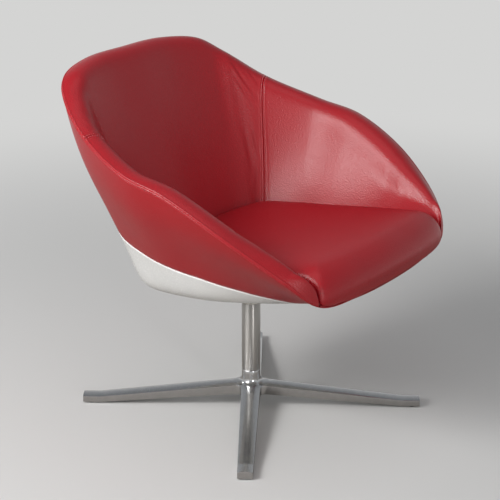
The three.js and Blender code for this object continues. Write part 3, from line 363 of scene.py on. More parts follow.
# Lines round the tube spread a reflection up and down it, so lamps show as upright bands.
round_tube = add(tree, "Tangent", direction_type="RADIAL", axis="Z")
shader = add(tree, "BsdfPrincipled", {"Roughness": rough, "Normal": relief, "Tangent": round_tube},
             in_Base_Color="#c6c3bf", in_Metallic=1.0, in_Anisotropic=0.92, in_Anisotropic_Rotation=0.25)
add(tree, "OutputMaterial", {"Surface": shader})


def bevelled_ring(bore, radius, low, high, edge):
    """Outline of a turned ring with a small bevel on both outer edges."""
    return [(bore, low), (radius - edge, low), (radius, low + edge), (radius, high - edge), (radius - edge, high),
            (bore, high)]


tube_low, tube_high = (corner.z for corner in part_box("column_tube"))
tube_bore = column_radius - column_wall
bm = turned(bevelled_ring(tube_bore, column_radius, tube_low, tube_high, 0.0006))
finish_piece("column", bm, "base", brushed, ["column_tube"])

# Swivel plate: turned steel with a short hub, zinc plated, which clouds its shine in patches of 4 mm. It is fixed
# to the spindle and bolted up against the bowl.
zinc, tree, place = new_material("zinc_plated_steel")
spangle = add(tree, "TexNoise", {"Vector": place}, in_Scale=260.0, in_Detail=2.0)
tint = add(tree, "Mix", {0: spangle}, data_type="RGBA", in_6="#85888b", in_7="#a0a2a3")
rough = add(tree, "MapRange", {"Value": spangle}, in_3=0.3, in_4=0.5)
shader = add(tree, "BsdfPrincipled", {"Base Color": tint.outputs[2], "Roughness": rough}, in_Metallic=1.0)
add(tree, "OutputMaterial", {"Surface": shader})

plate_low, plate_high = (corner.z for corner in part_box("seat_plate"))
plate_radius, plate_thick, plate_hub_radius, plate_edge, plate_fillet = 0.064, 0.005, 0.024, 0.0008, 0.002
spindle_bore, press_gap, ring_edge = 0.0113, 0.0003, 0.0005
plate_face = plate_high - plate_thick
bm = turned([(spindle_bore, plate_low), (plate_hub_radius - plate_edge, plate_low),
             (plate_hub_radius, plate_low + plate_edge), (plate_hub_radius, plate_face - plate_fillet),
             (plate_hub_radius + plate_fillet, plate_face), (plate_radius - plate_edge, plate_face),
             (plate_radius, plate_face + plate_edge), (plate_radius, plate_high), (spindle_bore, plate_high)])
finish_piece("swivel_plate", bm, "seat", zinc, ["seat_plate"])

# Bush cap: turned nylon, faintly clouded in patches of 8 mm, pressed into the column with a flange on its rim.
nylon, tree, place = new_material("turned_nylon")
cloudy = add(tree, "TexNoise", {"Vector": place}, in_Scale=120.0)
tint = add(tree, "Mix", {0: cloudy}, data_type="RGBA", in_6="#d4d0c5", in_7="#e2dfd8")
shader = add(tree, "BsdfPrincipled", {"Base Color": tint.outputs[2]}, in_Roughness=0.45, in_IOR=1.53)
add(tree, "OutputMaterial", {"Surface": shader})
cap_low, cap_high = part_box("upper_bush")[0].z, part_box("upper_bush")[1].z
flange = bevelled_ring(spindle_bore, column_radius, tube_high + press_gap, cap_high, ring_edge)
bm = turned([(spindle_bore, cap_low), (tube_bore - press_gap, cap_low), (tube_bore - press_gap, flange[0][1])]
            + flange[1:])
finish_piece("bush_cap", bm, "base", nylon, ["upper_bush"])

# Bearing washer and plate screws: zinc-plated steel. The washer lies loose between cap and plate, and the four
# screws with hexagon sockets run up through the plate and the bowl.
washer_low, washer_high = (corner.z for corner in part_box("thrust_washer"))
bm = turned(bevelled_ring(spindle_bore, column_radius, washer_low, washer_high, ring_edge))
finish_piece("bearing_washer", bm, "base", zinc, ["thrust_washer"])
bolt_circle, head_radius, head_height, shank_radius = 0.045, 0.0065, 0.005, 0.004
socket_radius, socket_depth, head_edge = 0.0034, 0.003, 0.001
for k in range(4):
    low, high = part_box(f"plate_bolt_{k + 1}")
    face = low.z
    bm = turned([(0, face + socket_depth), (socket_radius, face + socket_depth), (socket_radius, face),
                 (head_radius - head_edge, face), (head_radius, face + head_edge), (head_radius, face + head_height),
                 (shank_radius, face + head_height), (shank_radius, high.z), (0, high.z)], 36)
    at = Matrix.Rotation((k + 0.5) * math.pi / 2, 3, "Z") @ Vector((0, bolt_circle, 0))
    bmesh.ops.translate(bm, verts=bm.verts, vec=at)
    finish_piece(f"plate_screw_{k + 1}", bm, "seat", zinc, [f"plate_bolt_{k + 1}"])

# Tub surface that shell, cover and lining share. A station runs round it: 0 is the middle of the back, 4 the seam
# between back and arm, 9 the end of the arm and 11 the middle of the front. The other half mirrors it.
rim_rows = np.array([
    (0, 1, 1), (0.32, 0.994, 0.995), (0.607, 0.914, 0.956), (0.762, 0.76, 0.86), (0.873, 0.521, 0.731),
    (0.981, 0.169, 0.62), (1, -0.147, 0.556), (0.957, -0.5, 0.396), (0.827, -0.809, 0.192),
    (0.661, -0.947, 0.041), (0.352, -0.99, 0.01), (0, -1, 0)])
bowl_rows = np.array([
    (0, 1, 0), (0.354, 0.975, 0), (0.624, 0.858, 0.062), (0.789, 0.672, 0.185), (0.903, 0.382, 0.369),
    (0.983, 0.059, 0.554), (1, -0.197, 0.692), (0.945, -0.446, 0.831), (0.835, -0.685, 0.923),
    (0.675, -0.876, 0.985), (0.363, -0.975, 1), (0, -1, 1)])
seat_rows = np.array([
    (0, 1, 0), (0.288, 1, 0), (0.527, 0.963, 0), (0.691, 0.874, 0), (0.819, 0.741, 0), (0.889, 0.148, 0),
    (0.926, -0.187, 0), (0.971, -0.498, 0), (0.983, -0.915, 0.055), (1, -1, 1)])
shell_edge_row = [0.623, 0.623, 0.622, 0.617, 0.606, 0.589, 0.565, 0.525, 0.475, 0.37, 0.36, 0.36]
wall_row = [1, 1, 1, 1, 1, 1, 1, 0.95, 0.75, 0.4, 0.35, 0.35]
roll_row = [1, 1, 1, 0.96, 0.88, 0.98, 1.15, 1.2, 0.97, 0.8]
rise_row = [1, 1, 1, 0.95, 0.83, 0.92, 1.12, 1.25, 0.6, 1.5]
hollow_row = [1, 1, 1, 1, 1, 0.9, 0.5, 0.1, 0, 0]
rim_half_width, rim_back, rim_front, rim_height, lip_height = 0.369, 0.338, 0.340, 0.745, 0.355
bowl_half_width, bowl_back, bowl_front, bowl_back_height, bowl_front_height = 0.237, 0.204, 0.308, 0.281, 0.344
bowl_height, bowl_flat, corner_spread, side_bulge = 0.262, 0.070, 0.055, 0.016
flat_most, side_most, low_bulge, high_bulge = 0.45, 0.33, 0.3, 1.15
seat_half_width, seat_back, seat_front = 0.243, 0.135, 0.321
seat_back_height, seat_front_height, seat_nose = 0.386, 0.428, 0.046
base_back_height, base_front_height = 0.322, 0.353
stations, seam_station, arm_station, arm_end = 22, 4, 9, 8.97


def sized(rows, half_width, back, front, low, high):
    """Whole loop of points from one half's shares."""
    reach = np.where(rows[:, 1] > 0, rows[:, 1] * back, rows[:, 1] * front)
    half = np.stack([rows[:, 0] * half_width, reach, low + (high - low) * rows[:, 2]], 1)
    return np.concatenate([half, half[-2:0:-1] * (-1, 1, 1)])


rim_loop = sized(rim_rows, rim_half_width, rim_back, rim_front, lip_height, rim_height)
bowl_loop = sized(bowl_rows, bowl_half_width, bowl_back, bowl_front, bowl_back_height, bowl_front_height)


def between(p0, p1, p2, p3, f):
    """Smooth curve through p1 and p2."""
    f = f[..., None]
    return (p1 + 0.5 * f * (p2 - p0) + f ** 2 * (p0 - 2.5 * p1 + 2 * p2 - 0.5 * p3)
            + f ** 3 * (1.5 * p1 - 0.5 * p0 - 1.5 * p2 + 0.5 * p3))


def on_loop(loop, s):
    i = np.floor(s).astype(int)
    return between(*(loop[(i + k) % stations] for k in (-1, 0, 1, 2)), s - i)


def seat_plane(y):
    return seat_back_height + (seat_back - y) * (seat_front_height - seat_back_height) / (seat_back + seat_front)


def base_plane(y):
    return base_back_height + (seat_back - y) * (base_front_height - base_back_height) / (seat_back + seat_front)


seat_reach = np.where(seat_rows[:, 1] > 0, seat_rows[:, 1] * seat_back, seat_rows[:, 1] * seat_front)
seat_half = np.stack([seat_rows[:, 0] * seat_half_width, seat_reach,
                      seat_plane(seat_reach) - seat_rows[:, 2] * seat_nose], 1)
seat_line = np.concatenate([seat_half[:0:-1] * (-1, 1, 1), seat_half])
seat_line = np.concatenate([2 * seat_line[:1] - seat_line[1:2], seat_line, 2 * seat_line[-1:] - seat_line[-2:-1]])


def on_seat_line(s):
    x = np.clip(s + arm_station, 0, 2 * arm_station)
    i = np.minimum(np.floor(x).astype(int), 2 * arm_station - 1)
    return between(*(seat_line[i + 1 + k] for k in (-1, 0, 1, 2)), x - i)


def share_at(row, s):
    """Value of a table of one share per station, the same on both sides."""
    s = np.mod(s, stations)
    folded = np.minimum(np.minimum(s, stations - s), len(row) - 1)
    return np.interp(folded, range(len(row)), row)


def spline(controls, t):
    """Soft curve that starts and ends on its first and last control point."""
    c = np.concatenate([controls[:, :1]] * 2 + [controls] + [controls[:, -1:]] * 2, 1)
    spans = c.shape[1] - 3
    x = np.broadcast_to(np.clip(t, 0.0, 1.0) * spans, len(c))
    i = np.minimum(np.floor(x).astype(int), spans - 1)
    f = (x - i)[:, None]
    weights = ((1 - f) ** 3, 3 * f ** 3 - 6 * f ** 2 + 4, -3 * f ** 3 + 3 * f ** 2 + 3 * f + 1, f ** 3)
    here = np.arange(len(c))
    return sum(w / 6 * c[here, i + k] for k, w in enumerate(weights))


def unit(v):
    return v / np.maximum(np.linalg.norm(v, axis=-1, keepdims=True), 1e-12)


def eased(x, most=1):
    """Soft step from 0 to its most, while x goes from 0 to 1."""
    x = np.clip(x, 0, 1)
    return most * x * x * (3 - 2 * x)


small_step, small_share = 0.05, 0.01


def inwards(s):
    """Level direction into the tub, square to the rim."""
    way = unit((on_loop(rim_loop, s + small_step) - on_loop(rim_loop, s - small_step)) * (1, 1, 0))
    return np.stack([way[:, 1], -way[:, 0], np.zeros(len(way))], 1)


def mixed(a, b, share):
    return a + (b - a) * np.asarray(share)[..., None]


def tub(s, t):
    """Point of the tub's outside: station s, and share t of the way from the flat under the bowl to the rim."""
    rim, corner = on_loop(rim_loop, s), on_loop(bowl_loop, s)
    flat = unit(corner * (1, 1, 0)) * bowl_flat + (0, 0, bowl_height)
    side = np.linalg.norm(rim - corner, axis=1)
    under = np.linalg.norm(flat - corner, axis=1)
    before = mixed(corner, flat, np.minimum(corner_spread / under, flat_most))
    after = mixed(corner, rim, np.minimum(corner_spread / side, side_most))
    out = -inwards(s) * (side_bulge * np.minimum(side / rim_back, 1))[:, None]
    low = mixed(after, rim, 0.33) + low_bulge * out
    high = mixed(after, rim, 0.67) + high_bulge * out
    controls = np.stack([flat, (flat + corner) / 2, before, corner, after, low, high, rim], 1)
    return spline(controls, t)


def in_wall(s, t, depth, slide):
    """Point inside the tub's wall. Depth goes inwards from the outside, slide runs on along the profile."""
    above = np.minimum(t + small_share, 1)
    up = unit(tub(s, above) - tub(s, above - 2 * small_share))
    around = tub(s + small_step, t) - tub(s - small_step, t)
    outwards = unit(np.cross(up, around))
    thin = 1 - (1 - share_at(wall_row, s)) * t * np.sqrt(t)
    return tub(s, t) - outwards * (depth * thin)[:, None] + up * np.broadcast_to(slide, s.shape)[:, None]


def wall_sheet(s, rows):
    """Grid of points for a closed section. A row gives its share of the profile, its depth and its slide."""
    return np.stack([in_wall(s, *row) for row in rows], 1)


def last_share(s, first, holds):
    """Greatest share of the way to the rim at which a test of the tub's point holds, found by halving."""
    low, high = np.full(len(s), first), np.ones(len(s))
    for _ in range(20):
        middle = (low + high) / 2
        held = holds(tub(s, middle))
        low, high = np.where(held, middle, low), np.where(held, high, middle)
    return low


every_station = np.arange(0, stations, 0.125)
bm = skin(np.stack([tub(every_station, t) for t in np.linspace(0, 1, 60)], 1), closed_u=True)
tub_outside = BVHTree.FromBMesh(bm)
bm.free()


def lifted(points, clear):
    """Points that would lie in or under the tub's wall, lifted on to its inside."""
    out = points.reshape(-1, 3).copy()
    for p in out:
        hit, normal, _, _ = tub_outside.ray_cast(Vector((p[0], p[1], 1)), Vector((0, 0, -1)))
        floor = hit.z + clear / max(abs(normal.z), 0.3) if hit else lip_height + clear
        p[2] = max(p[2], floor)
    return out.reshape(points.shape)


# Lower shell: glossy white plastic, moulded in one piece and 4 mm thick, with a turned-in upper edge. It is bolted
# between the seat plate and the frame inside the tub.
white_plastic, tree, place = new_material("moulded_white_abs")
# The moulding's gloss waves over about 30 mm, and fine dust dulls it in specks of 2 mm.
flow = add(tree, "TexNoise", {"Vector": place}, in_Scale=34.0, in_Detail=1.0)
dust = add(tree, "TexNoise", {"Vector": place}, in_Scale=520.0, in_Detail=2.0)
rough = add(tree, "MapRange", {"Value": dust}, in_3=0.2, in_4=0.32)
tint = add(tree, "Mix", {0: flow}, data_type="RGBA", in_6="#e6e7e6", in_7="#eeeeec")
relief = add(tree, "Bump", {"Height": flow}, in_Strength=0.08, in_Distance=0.001)
shader = add(tree, "BsdfPrincipled", {"Base Color": tint.outputs[2], "Roughness": rough, "Normal": relief},
             in_IOR=1.52)
add(tree, "OutputMaterial", {"Surface": shader})

shell_steps = 264
around_tub = np.arange(shell_steps) * stations / shell_steps
shell_top = share_at(shell_edge_row, around_tub)
shell_wall, shell_edge_wall, bowl_hole, bowl_middle = 0.004, 0.008, 0.013, 0.04
# Its turned-in upper edge: depths in from the outside, and slides from the edge's line.
shell_edge = ((0, -0.0028), (0, -0.0014), (0.0003, -0.0006), (0.0012, -0.00015), (0.004, -0.00015),
              (shell_edge_wall, -0.00015), (shell_edge_wall, -0.005), (shell_wall, -0.010))


def level_ring(radius, height):
    """Ring of points round the hole under the bowl."""
    return (unit(on_loop(bowl_loop, around_tub) * (1, 1, 0)) * radius + (0, 0, height))[:, None]


rows = [(shell_top * k / 44, 0, 0) for k in range(44)]
rows += [(shell_top, *spot) for spot in shell_edge]
rows += [(shell_top * k / 14, shell_wall, 0) for k in range(12, 1, -1)]
floor_top = bowl_height + shell_edge_wall
sheet = [level_ring(bowl_hole, bowl_height), level_ring(bowl_middle, bowl_height), wall_sheet(around_tub, rows),
         level_ring(bowl_flat - shell_wall, floor_top), level_ring(bowl_hole, floor_top)]
bm = skin(np.concatenate(sheet, 1), closed_u=True, closed_v=True)
close_up(bm)
finish_piece("lower_shell", bm, "seat", white_plastic, ["outer_shell"])

# Outer cover: red leather over a thin foam, stretched up the outside from the shell's edge to the rim, where it
# is sewn to the lining. Smooth aniline leather with a fine grain and a soft sheen.
leather, tree, place = new_material("red_leather")
# Grain pebbles of about 1 mm are drawn 3 mm wide so that they show. The dye clouds over 60 mm.
pebble = add(tree, "TexVoronoi", {"Vector": place}, feature="F1", in_Scale=330.0)
pores = add(tree, "TexNoise", {"Vector": place}, in_Scale=330.0, in_Detail=3.0)
cloud = add(tree, "TexNoise", {"Vector": place}, in_Scale=16.0, in_Detail=3.0)
tint = add(tree, "Mix", {0: cloud}, data_type="RGBA", in_6="#9e0f1b", in_7="#ab131f")
tint = add(tree, "Mix", {0: pores, 6: tint.outputs[2]}, data_type="RGBA", in_7="#a5111d")
rough = add(tree, "MapRange", {"Value": pores}, in_3=0.27, in_4=0.44)
relief = add(tree, "Bump", {"Height": pores}, in_Strength=0.36, in_Distance=0.0010)
relief = add(tree, "Bump", {"Height": pebble, "Normal": relief}, in_Strength=0.34, in_Distance=0.0008)
shader = add(tree, "BsdfPrincipled", {"Base Color": tint.outputs[2], "Roughness": rough, "Normal": relief}, in_IOR=1.5)
add(tree, "OutputMaterial", {"Surface": shader})

cover_wall, cover_edge = 0.0078, 0.004
stitch_below, stitch_groove, joint_from = 0.0052, 0.0009, 0.009
# Its hem on the shell's edge and, close to the rim, a shallow groove for the stitches, a bead and the joint: depths
# in from the outside, and slides from the edge or from the rim.
cover_hem = ((0.0052, 0.0004), (0.003, 0.0006), (0.0017, 0.0016), (0.0010, 0.0032), (0.0005, 0.0055))
cover_joint = ((0.0001, -0.0074), (stitch_groove, -0.0060), (stitch_groove + 0.0001, -stitch_below),
               (0.0002, -0.0042), (-0.0006, -0.0034), (-0.0008, -0.0026), (-0.0004, -0.0018), (0.0003, -0.0010),
               (0.0013, -0.0004), (0.0028, -0.0004), (cover_edge, -0.0014), (cover_edge + 0.001, -0.006))
rim_line = tub(around_tub, 1)
top_share = last_share(around_tub, 0.6, lambda point: np.linalg.norm(rim_line - point, axis=1) > joint_from)
rows = [(shell_top, *spot) for spot in cover_hem]
rows += [(shell_top + (top_share - shell_top) * k / 38, 0, 0) for k in range(3, 39)]
rows += [(1, *spot) for spot in cover_joint]
rows += [(shell_top + (1 - shell_top) * k / 12, cover_wall, 0) for k in range(10, 1, -1)]
rows += [(shell_top, cover_wall, 0.003)]
bm = skin(wall_sheet(around_tub, rows), closed_u=True, closed_v=True)
close_up(bm)
cover = finish_piece("leather_cover", bm, "seat", leather, ["outer_cover"])

# Lining: the same leather over moulded foam. It rolls over the rim and runs down to the cushion. A seam at each
# side parts the back from the arms. Seams sink into the foam, and the leather gathers a little beside them.
roll_width, roll_rise, roll_drop, wall_hollow = 0.064, 0.030, 0.040, 0.010
nose_run, roll_most, lip_at, lip_out = 0.8, 0.7, 0.97, 0.0003


def valley(s):
    """Depth of the groove between lining and cushion, which is deepest beside the ends of the arms."""
    return 0.003 + eased((np.abs(s) - 7.2) / 1.3, 0.009)


def towards_foot(s):
    """Level direction of a section: square to the rim, but turned to the corner of the seat at an arm's end."""
    way = unit((on_seat_line(s) - on_loop(rim_loop, s)) * (1, 1, 0))
    return unit(mixed(inwards(s), way, eased((np.abs(s) - 5) / 3)))


def lining(s, t):
    """Visible face of the lining: from the rim seam over the roll and down to the cushion."""
    rim, foot = on_loop(rim_loop, s), on_seat_line(s)
    foot[:, 2] -= valley(s)
    inward = towards_foot(s)
    across = np.sum((foot - rim) * inward, 1)
    share = np.minimum(share_at(roll_row, s), roll_most * across / roll_width)
    drop = np.minimum(roll_drop * share, (rim[:, 2] - foot[:, 2]) / 2)
    up = np.array((0, 0, 1.0))
    wall_top = rim + inward * (roll_width * share)[:, None] - up * drop[:, None]
    nose = np.clip((np.abs(s) - arm_station) / nose_run + 1, 0, 1)
    rise = roll_rise * share_at(rise_row, s) * np.sqrt(1 - nose ** 2)
    hollow = wall_hollow * share * share_at(hollow_row, s)
    top = tub(s, 1)
    controls = [top + unit(top - tub(s, lip_at)) * lip_out]
    for over, lift in ((0.12, 0.36), (0.47, 0.96), (0.8, 1)):
        controls.append(mixed(rim, wall_top, over) + up * (rise * lift)[:, None])
    controls.append(wall_top)
    for way in (0.4, 0.75):
        controls.append(mixed(wall_top, foot, way) - inward * hollow[:, None])
    controls.append(foot)
    return spline(np.stack(controls, 1), t)


# Columns of a pad near its seams, as distances from the seam, and the length of a station there.
seam_steps = np.array([0, 0.5, 1.1, 1.7, 2.3, 2.9, 3.4, 3.9, 4.4, 5.0, 5.8, 6.8, 8.2, 10.5]) * 0.001
station_length = float(np.linalg.norm(rim_loop[4] - rim_loop[3]) + np.linalg.norm(rim_loop[5] - rim_loop[4])) / 2
face_rows, back_rows, rounded_from = 92, 9, arm_station - 1.7
pad_depth, foot_inset, foot_clear, least_step = 0.0163, 0.003, 0.009, 0.02
# Shares of the profile at which its back starts at an arm's end and stops everywhere, and its tuck under the rim.
end_share, back_share, rim_tuck = 0.93, 0.95, ((1, 0.0052, -0.004), (1, 0.0043, 0))


def pad_points(first, last, steps, seams):
    """Stations of a pad and the points of its closed sections: its visible face, and its foot and hidden back. It
    has seams at its first end, at its last end or at both."""
    s = np.linspace(first, last, steps)
    fine = seam_steps / station_length
    if seams[0]:
        s = np.concatenate([first + fine, s[s > first + fine[-1] + least_step]])
    if seams[1]:
        s = np.concatenate([s[s < last - fine[-1] - least_step], last - fine[::-1]])
    face = np.stack([lining(s, t) for t in np.linspace(0, 1, face_rows) ** 1.35], 1)
    foot = on_seat_line(s)
    base = base_plane(foot[:, 1])
    rounding = eased((np.abs(s) - rounded_from) / (arm_end - rounded_from))
    under = foot - inwards(s) * foot_inset
    under[:, 2] = base + (on_loop(rim_loop, s)[:, 2] - base) * rounding
    start = last_share(s, 0.3, lambda point: point[:, 2] < base)
    start = start + (end_share - start) * rounding
    rows = [lifted(under, foot_clear)]
    rows += [in_wall(s, start + (back_share - start) * k / (back_rows - 1), pad_depth, 0) for k in range(back_rows)]
    rows += [in_wall(s, *spot) for spot in rim_tuck]
    return s, face, np.stack(rows, 1)


def run_along(points, axis):
    """Distance along a grid's lines from their start."""
    step = np.linalg.norm(np.diff(points, axis=axis), axis=2)
    pad = [(0, 0), (0, 0)]
    pad[axis] = (1, 0)
    return np.cumsum(np.pad(step, pad), axis=axis)


# Beside a seam the leather is turned under, which makes a soft bead between the joint and the row of stitches. At the
# side seams it also sinks under the stitches and swells beyond them, by a depth, at a distance and over a width.
rim_joint, rim_joint_width = 0.0022, 0.0024
rim_bead, rim_bead_at, rim_bead_width = 0.0012, 0.0036, 0.0016
side_joint, side_joint_width, seam_stitch_at = 0.0014, 0.0016, 0.0040
side_sinks = ((-0.0006, 0.0021, 0.0011), (0.0006, seam_stitch_at, 0.0009), (-0.0005, 0.0065, 0.0018))

# Creases where the back's leather is pulled in to the side seams. Each runs from one place to another, given as
# distances from the seam and from the rim, with its width and its height.
creases = ((0.095, 0.046, 0.004, 0.096, 0.0065, 0.0022), (0.080, 0.074, 0.006, 0.124, 0.0060, 0.0017),
           (0.050, 0.036, 0.004, 0.062, 0.0050, 0.0010), (0.030, 0.160, 0.012, 0.235, 0.0080, 0.0013),
           (0.052, 0.190, 0.030, 0.290, 0.0100, 0.0011), (0.016, 0.250, 0.024, 0.330, 0.0060, 0.0009))


def puckers(from_seam, from_rim):
    """Height of the creases: a soft ridge with a hollow beside it."""
    height = np.zeros(from_seam.shape)
    for x0, y0, x1, y1, width, depth in creases:
        run = math.hypot(x1 - x0, y1 - y0)
        way = ((x1 - x0) / run, (y1 - y0) / run)
        share = ((from_seam - x0) * way[0] + (from_rim - y0) * way[1]) / run
        off = ((from_seam - x0) * way[1] - (from_rim - y0) * way[0]) / width
        height += depth * np.sin(np.pi * np.clip(share, 0, 1)) * off * np.exp(0.5 - off * off)
    return height


def sewn(s, face, seams):
    """Face of a pad with its seams drawn in, and its normals. A seam runs along the rim, and one at either end where
    it has one. The creases lie on the back, deep at the far side and faint at the near one."""
    normal = unit(np.cross(np.gradient(face, axis=0), np.gradient(face, axis=1)))
    if np.mean(np.sum(normal * inwards(s)[:, None], 2)) < 0:
        normal = -normal
    from_rim, from_first = run_along(face, 1), run_along(face, 0)
    from_last = from_first[-1:] - from_first
    sink = rim_joint * np.clip(1 - from_rim / rim_joint_width, 0, 1) ** 2
    sink -= rim_bead * np.exp(-((from_rim - rim_bead_at) / rim_bead_width) ** 2)
    for distance, sewn_here in zip((from_first, from_last), seams):
        if sewn_here:
            sink += side_joint * np.clip(1 - distance / side_joint_width, 0, 1) ** 1.5
            for depth, at, width in side_sinks:
                sink += depth * np.exp(-((distance - at) / width) ** 2)
    if all(seams):
        sink -= puckers(from_last, from_rim) + 0.25 * puckers(from_first, from_rim + 0.02)
    return face - normal * sink[..., None], normal


pad_faces = []
for name, node, first, last, steps in (("back_lining", "back_pad", -seam_station, seam_station, 290),
                                       ("arm_lining_left", "arm_pad_left", seam_station, arm_end, 120),
                                       ("arm_lining_right", "arm_pad_right", -arm_end, -seam_station, 120)):
    seams = (first != -arm_end, last != arm_end)
    s, face, hidden = pad_points(first, last, steps, seams)
    face, normal = sewn(s, face, seams)
    pad_faces.append((face, normal, seams))
    bm = skin(np.concatenate([face, hidden], 1), closed_v=True)
    close_up(bm)
    pad = finish_piece(name, bm, "seat", leather, [node])

# Stitches: doubled polyester thread in the leather's red. One row runs round the outside below the rim seam, and one
# down either side of each seam between back and arm. Its colour is painted paler than the leather, a painted sheen
# of the glossy thread, and varies with a twist of 1 mm. Stitches are 3.4 mm long.
thread, tree, place = new_material("bonded_polyester_thread")
twist_and_painted_sheen = add(tree, "TexNoise", {"Vector": place}, in_Scale=900.0)
# Both colours are painted paler than the leather's red: a painted sheen in place of the thread's highlights.
tint = add(tree, "Mix", {0: twist_and_painted_sheen}, data_type="RGBA", in_6="#c24850", in_7="#d6777c")
shader = add(tree, "BsdfPrincipled", {"Base Color": tint.outputs[2]}, in_Roughness=0.5, in_IOR=1.55)
add(tree, "OutputMaterial", {"Surface": shader})
stitch_length, stitch_half, stitch_pitch, stitch_step, rim_row_end = 0.0034, 0.0008, 0.0048, 0.001, 8.7


def stitch_row(bm, path, normals):
    """Row of stitches along a path, each a small drawn-out bead that lies half in the leather."""
    along = np.concatenate([[0], np.cumsum(np.linalg.norm(np.diff(path, axis=0), axis=1))])
    for k in range(int(along[-1] / stitch_pitch)):
        places = [(k + 0.5) * stitch_pitch + step for step in (-stitch_step, 0, stitch_step)]
        before, here, after = (Vector([np.interp(p, along, path[:, i]) for i in range(3)]) for p in places)
        up = Vector([np.interp(places[1], along, normals[:, i]) for i in range(3)]).normalized()
        way = (after - before).normalized()
        side = up.cross(way).normalized()
        turn = Matrix((way, side, way.cross(side))).transposed().to_4x4()
        size = Matrix.Diagonal((stitch_length / 2, stitch_half, stitch_half, 1))
        bmesh.ops.create_icosphere(bm, subdivisions=1, radius=1, matrix=Matrix.Translation(here) @ turn @ size)


bm = bmesh.new()
rim_s = np.linspace(-rim_row_end, rim_row_end, 900)
rim_path = in_wall(rim_s, 1, stitch_groove - 0.0001, -stitch_below)
stitch_row(bm, rim_path, unit(rim_path - in_wall(rim_s, 1, 0.003, -stitch_below)))
for face, normal, seams in pad_faces:
    lines = np.concatenate([face, normal], 2)
    from_first = run_along(face, 0)
    for from_seam, sewn_here in zip((from_first, from_first[-1:] - from_first), seams):
        path = []
        for row in range(8, face.shape[1] - 3):
            order = np.argsort(from_seam[:, row])
            reach = from_seam[order, row]
            path.append([np.interp(seam_stitch_at, reach, lines[order, row, i]) for i in range(6)])
        if sewn_here:
            stitch_row(bm, np.array(path)[:, :3], np.array(path)[:, 3:])
finish_piece("seam_stitches", bm, "seat", thread)

# Seat cushion: leather over foam, crowned, with a rounded front that bows forward over the lip of the tub. It lies
# on a plywood board and is pressed between the arms.
cushion_bow, nose_depth, crown_height, crown_spread = 0.032, 0.060, 0.012, 0.035
hem, side_draw, side_round, gap = 0.012, 0.004, 0.020, 0.0003
front_hang, hang_start, lip_clear, lip_press, floor_clear, wall_clear = 0.0135, 0.001, 0.0006, 0.0016, 0.0045, 0.0035
s = np.linspace(-arm_station, arm_station, 217)
corner = seat_half[-1]
turn = np.arange(1, 72) * math.pi / 72
front_y = corner[1] - cushion_bow * np.sin(turn)
front = np.stack([corner[0] * np.cos(turn), front_y, seat_plane(front_y) - seat_nose], 1)
edge_points = np.concatenate([on_seat_line(s), front])
groove = np.concatenate([valley(s), valley(arm_station) * (1 - np.sin(turn)) ** 2])
# How far the front hangs out over the lip of the tub, and how high the lip is there.
front_lip = on_loop(rim_loop, np.linspace(8.5, 13.5, 200))
on_front = np.concatenate([np.zeros(len(s)), np.sin(turn)])
on_lip = np.where(on_front > 0, 1.0, 0.0)
hang = np.maximum(front_hang * on_front ** 0.6 - hang_start, 0)
lip_z = np.interp(-edge_points[:, 0], -front_lip[:, 0], front_lip[:, 2])
cushion_middle = np.array((0, -0.1, 0))


def drawn_in(distance):
    """The cushion's edge moved a distance towards its middle."""
    way = unit((cushion_middle - edge_points) * (1, 1, 0))
    return edge_points + way * np.broadcast_to(distance, len(edge_points))[:, None]


def raised(points, heights):
    points = points.copy()
    points[:, 2] = heights
    return points


def nose_fall(points):
    """How far the cushion's front roll falls, from the distance behind its front edge."""
    bow = cushion_bow * np.sqrt(np.clip(1 - (points[:, 0] / corner[0]) ** 2, 0, 1))
    left = 1 - np.clip((points[:, 1] - corner[1] + bow) / nose_depth, 0, 1)
    return seat_nose * (1 - np.sqrt(1 - left * left))


rings = []
# Underside, from the middle to the hem.
for share in (9, 5, 2.6, 1):
    p = drawn_in(hem * share + hem * on_lip)
    low = base_plane(p[:, 1]) + gap
    rings.append(raised(p, low + (np.maximum(lip_z + lip_clear, low) - low) * on_lip * (share < 2)))
# Sides, from the hem to the edge of the seat.
for draw, rise in ((0.3, 0.0), (0.4, 0.04), (0.55, 0.14), (0.8, 0.32), (1, 0.55), (0.9, 0.75), (0.5, 0.9)):
    overhang = np.maximum(hang - 0.002, side_draw * 0.5) * (1 - rise) ** 0.8
    p = drawn_in(side_draw * draw * (1 - on_lip) + overhang * on_lip + gap)
    low = base_plane(p[:, 1]) + gap
    low = low + (lip_z + lip_clear - lip_press * np.clip((hang - 0.003) / 0.002, 0, 1) - low) * on_lip
    edge_z = seat_plane(edge_points[:, 1]) - nose_fall(edge_points) - groove
    rings.append(raised(p, low + (edge_z - low) * rise))
# Top, from the edge to the middle.
for share in (0, 0.015, 0.04, 0.08, 0.13, 0.2, 0.28, 0.38, 0.5, 0.62, 0.75, 0.88, 1, 1.2, 1.5, 1.9, 2.4, 3.0, 3.6):
    distance = share * nose_depth
    p = drawn_in(distance + gap)
    left = 1 - min(distance / side_round, 1)
    fall = nose_fall(p) + groove * (1 - math.sqrt(1 - left * left))
    rings.append(raised(p, seat_plane(p[:, 1]) + crown_height * (1 - math.exp(-distance / crown_spread)) - fall))
points = np.stack(rings, 1)
points[:, :4] = lifted(points[:, :4], floor_clear)
points[:len(s), 4:11] = lifted(points[:len(s), 4:11], wall_clear)
bm = skin(points, closed_u=True)
close_up(bm)
cushion = finish_piece("leather_cushion", bm, "seat", leather, ["seat_cushion"])
swell_frames, swell_quality, even_passes, even_share = 20, 6, 80, 0.6


def settled(thing):
    """Mesh of an object as its modifiers leave it at this frame."""
    return bpy.data.meshes.new_from_object(thing.evaluated_get(bpy.context.evaluated_depsgraph_get()))


def of_points(mesh, name):
    """Places or normals of a mesh's points."""
    values = np.empty(len(mesh.vertices) * 3)
    mesh.vertices.foreach_get(name, values)
    return values.reshape(-1, 3)


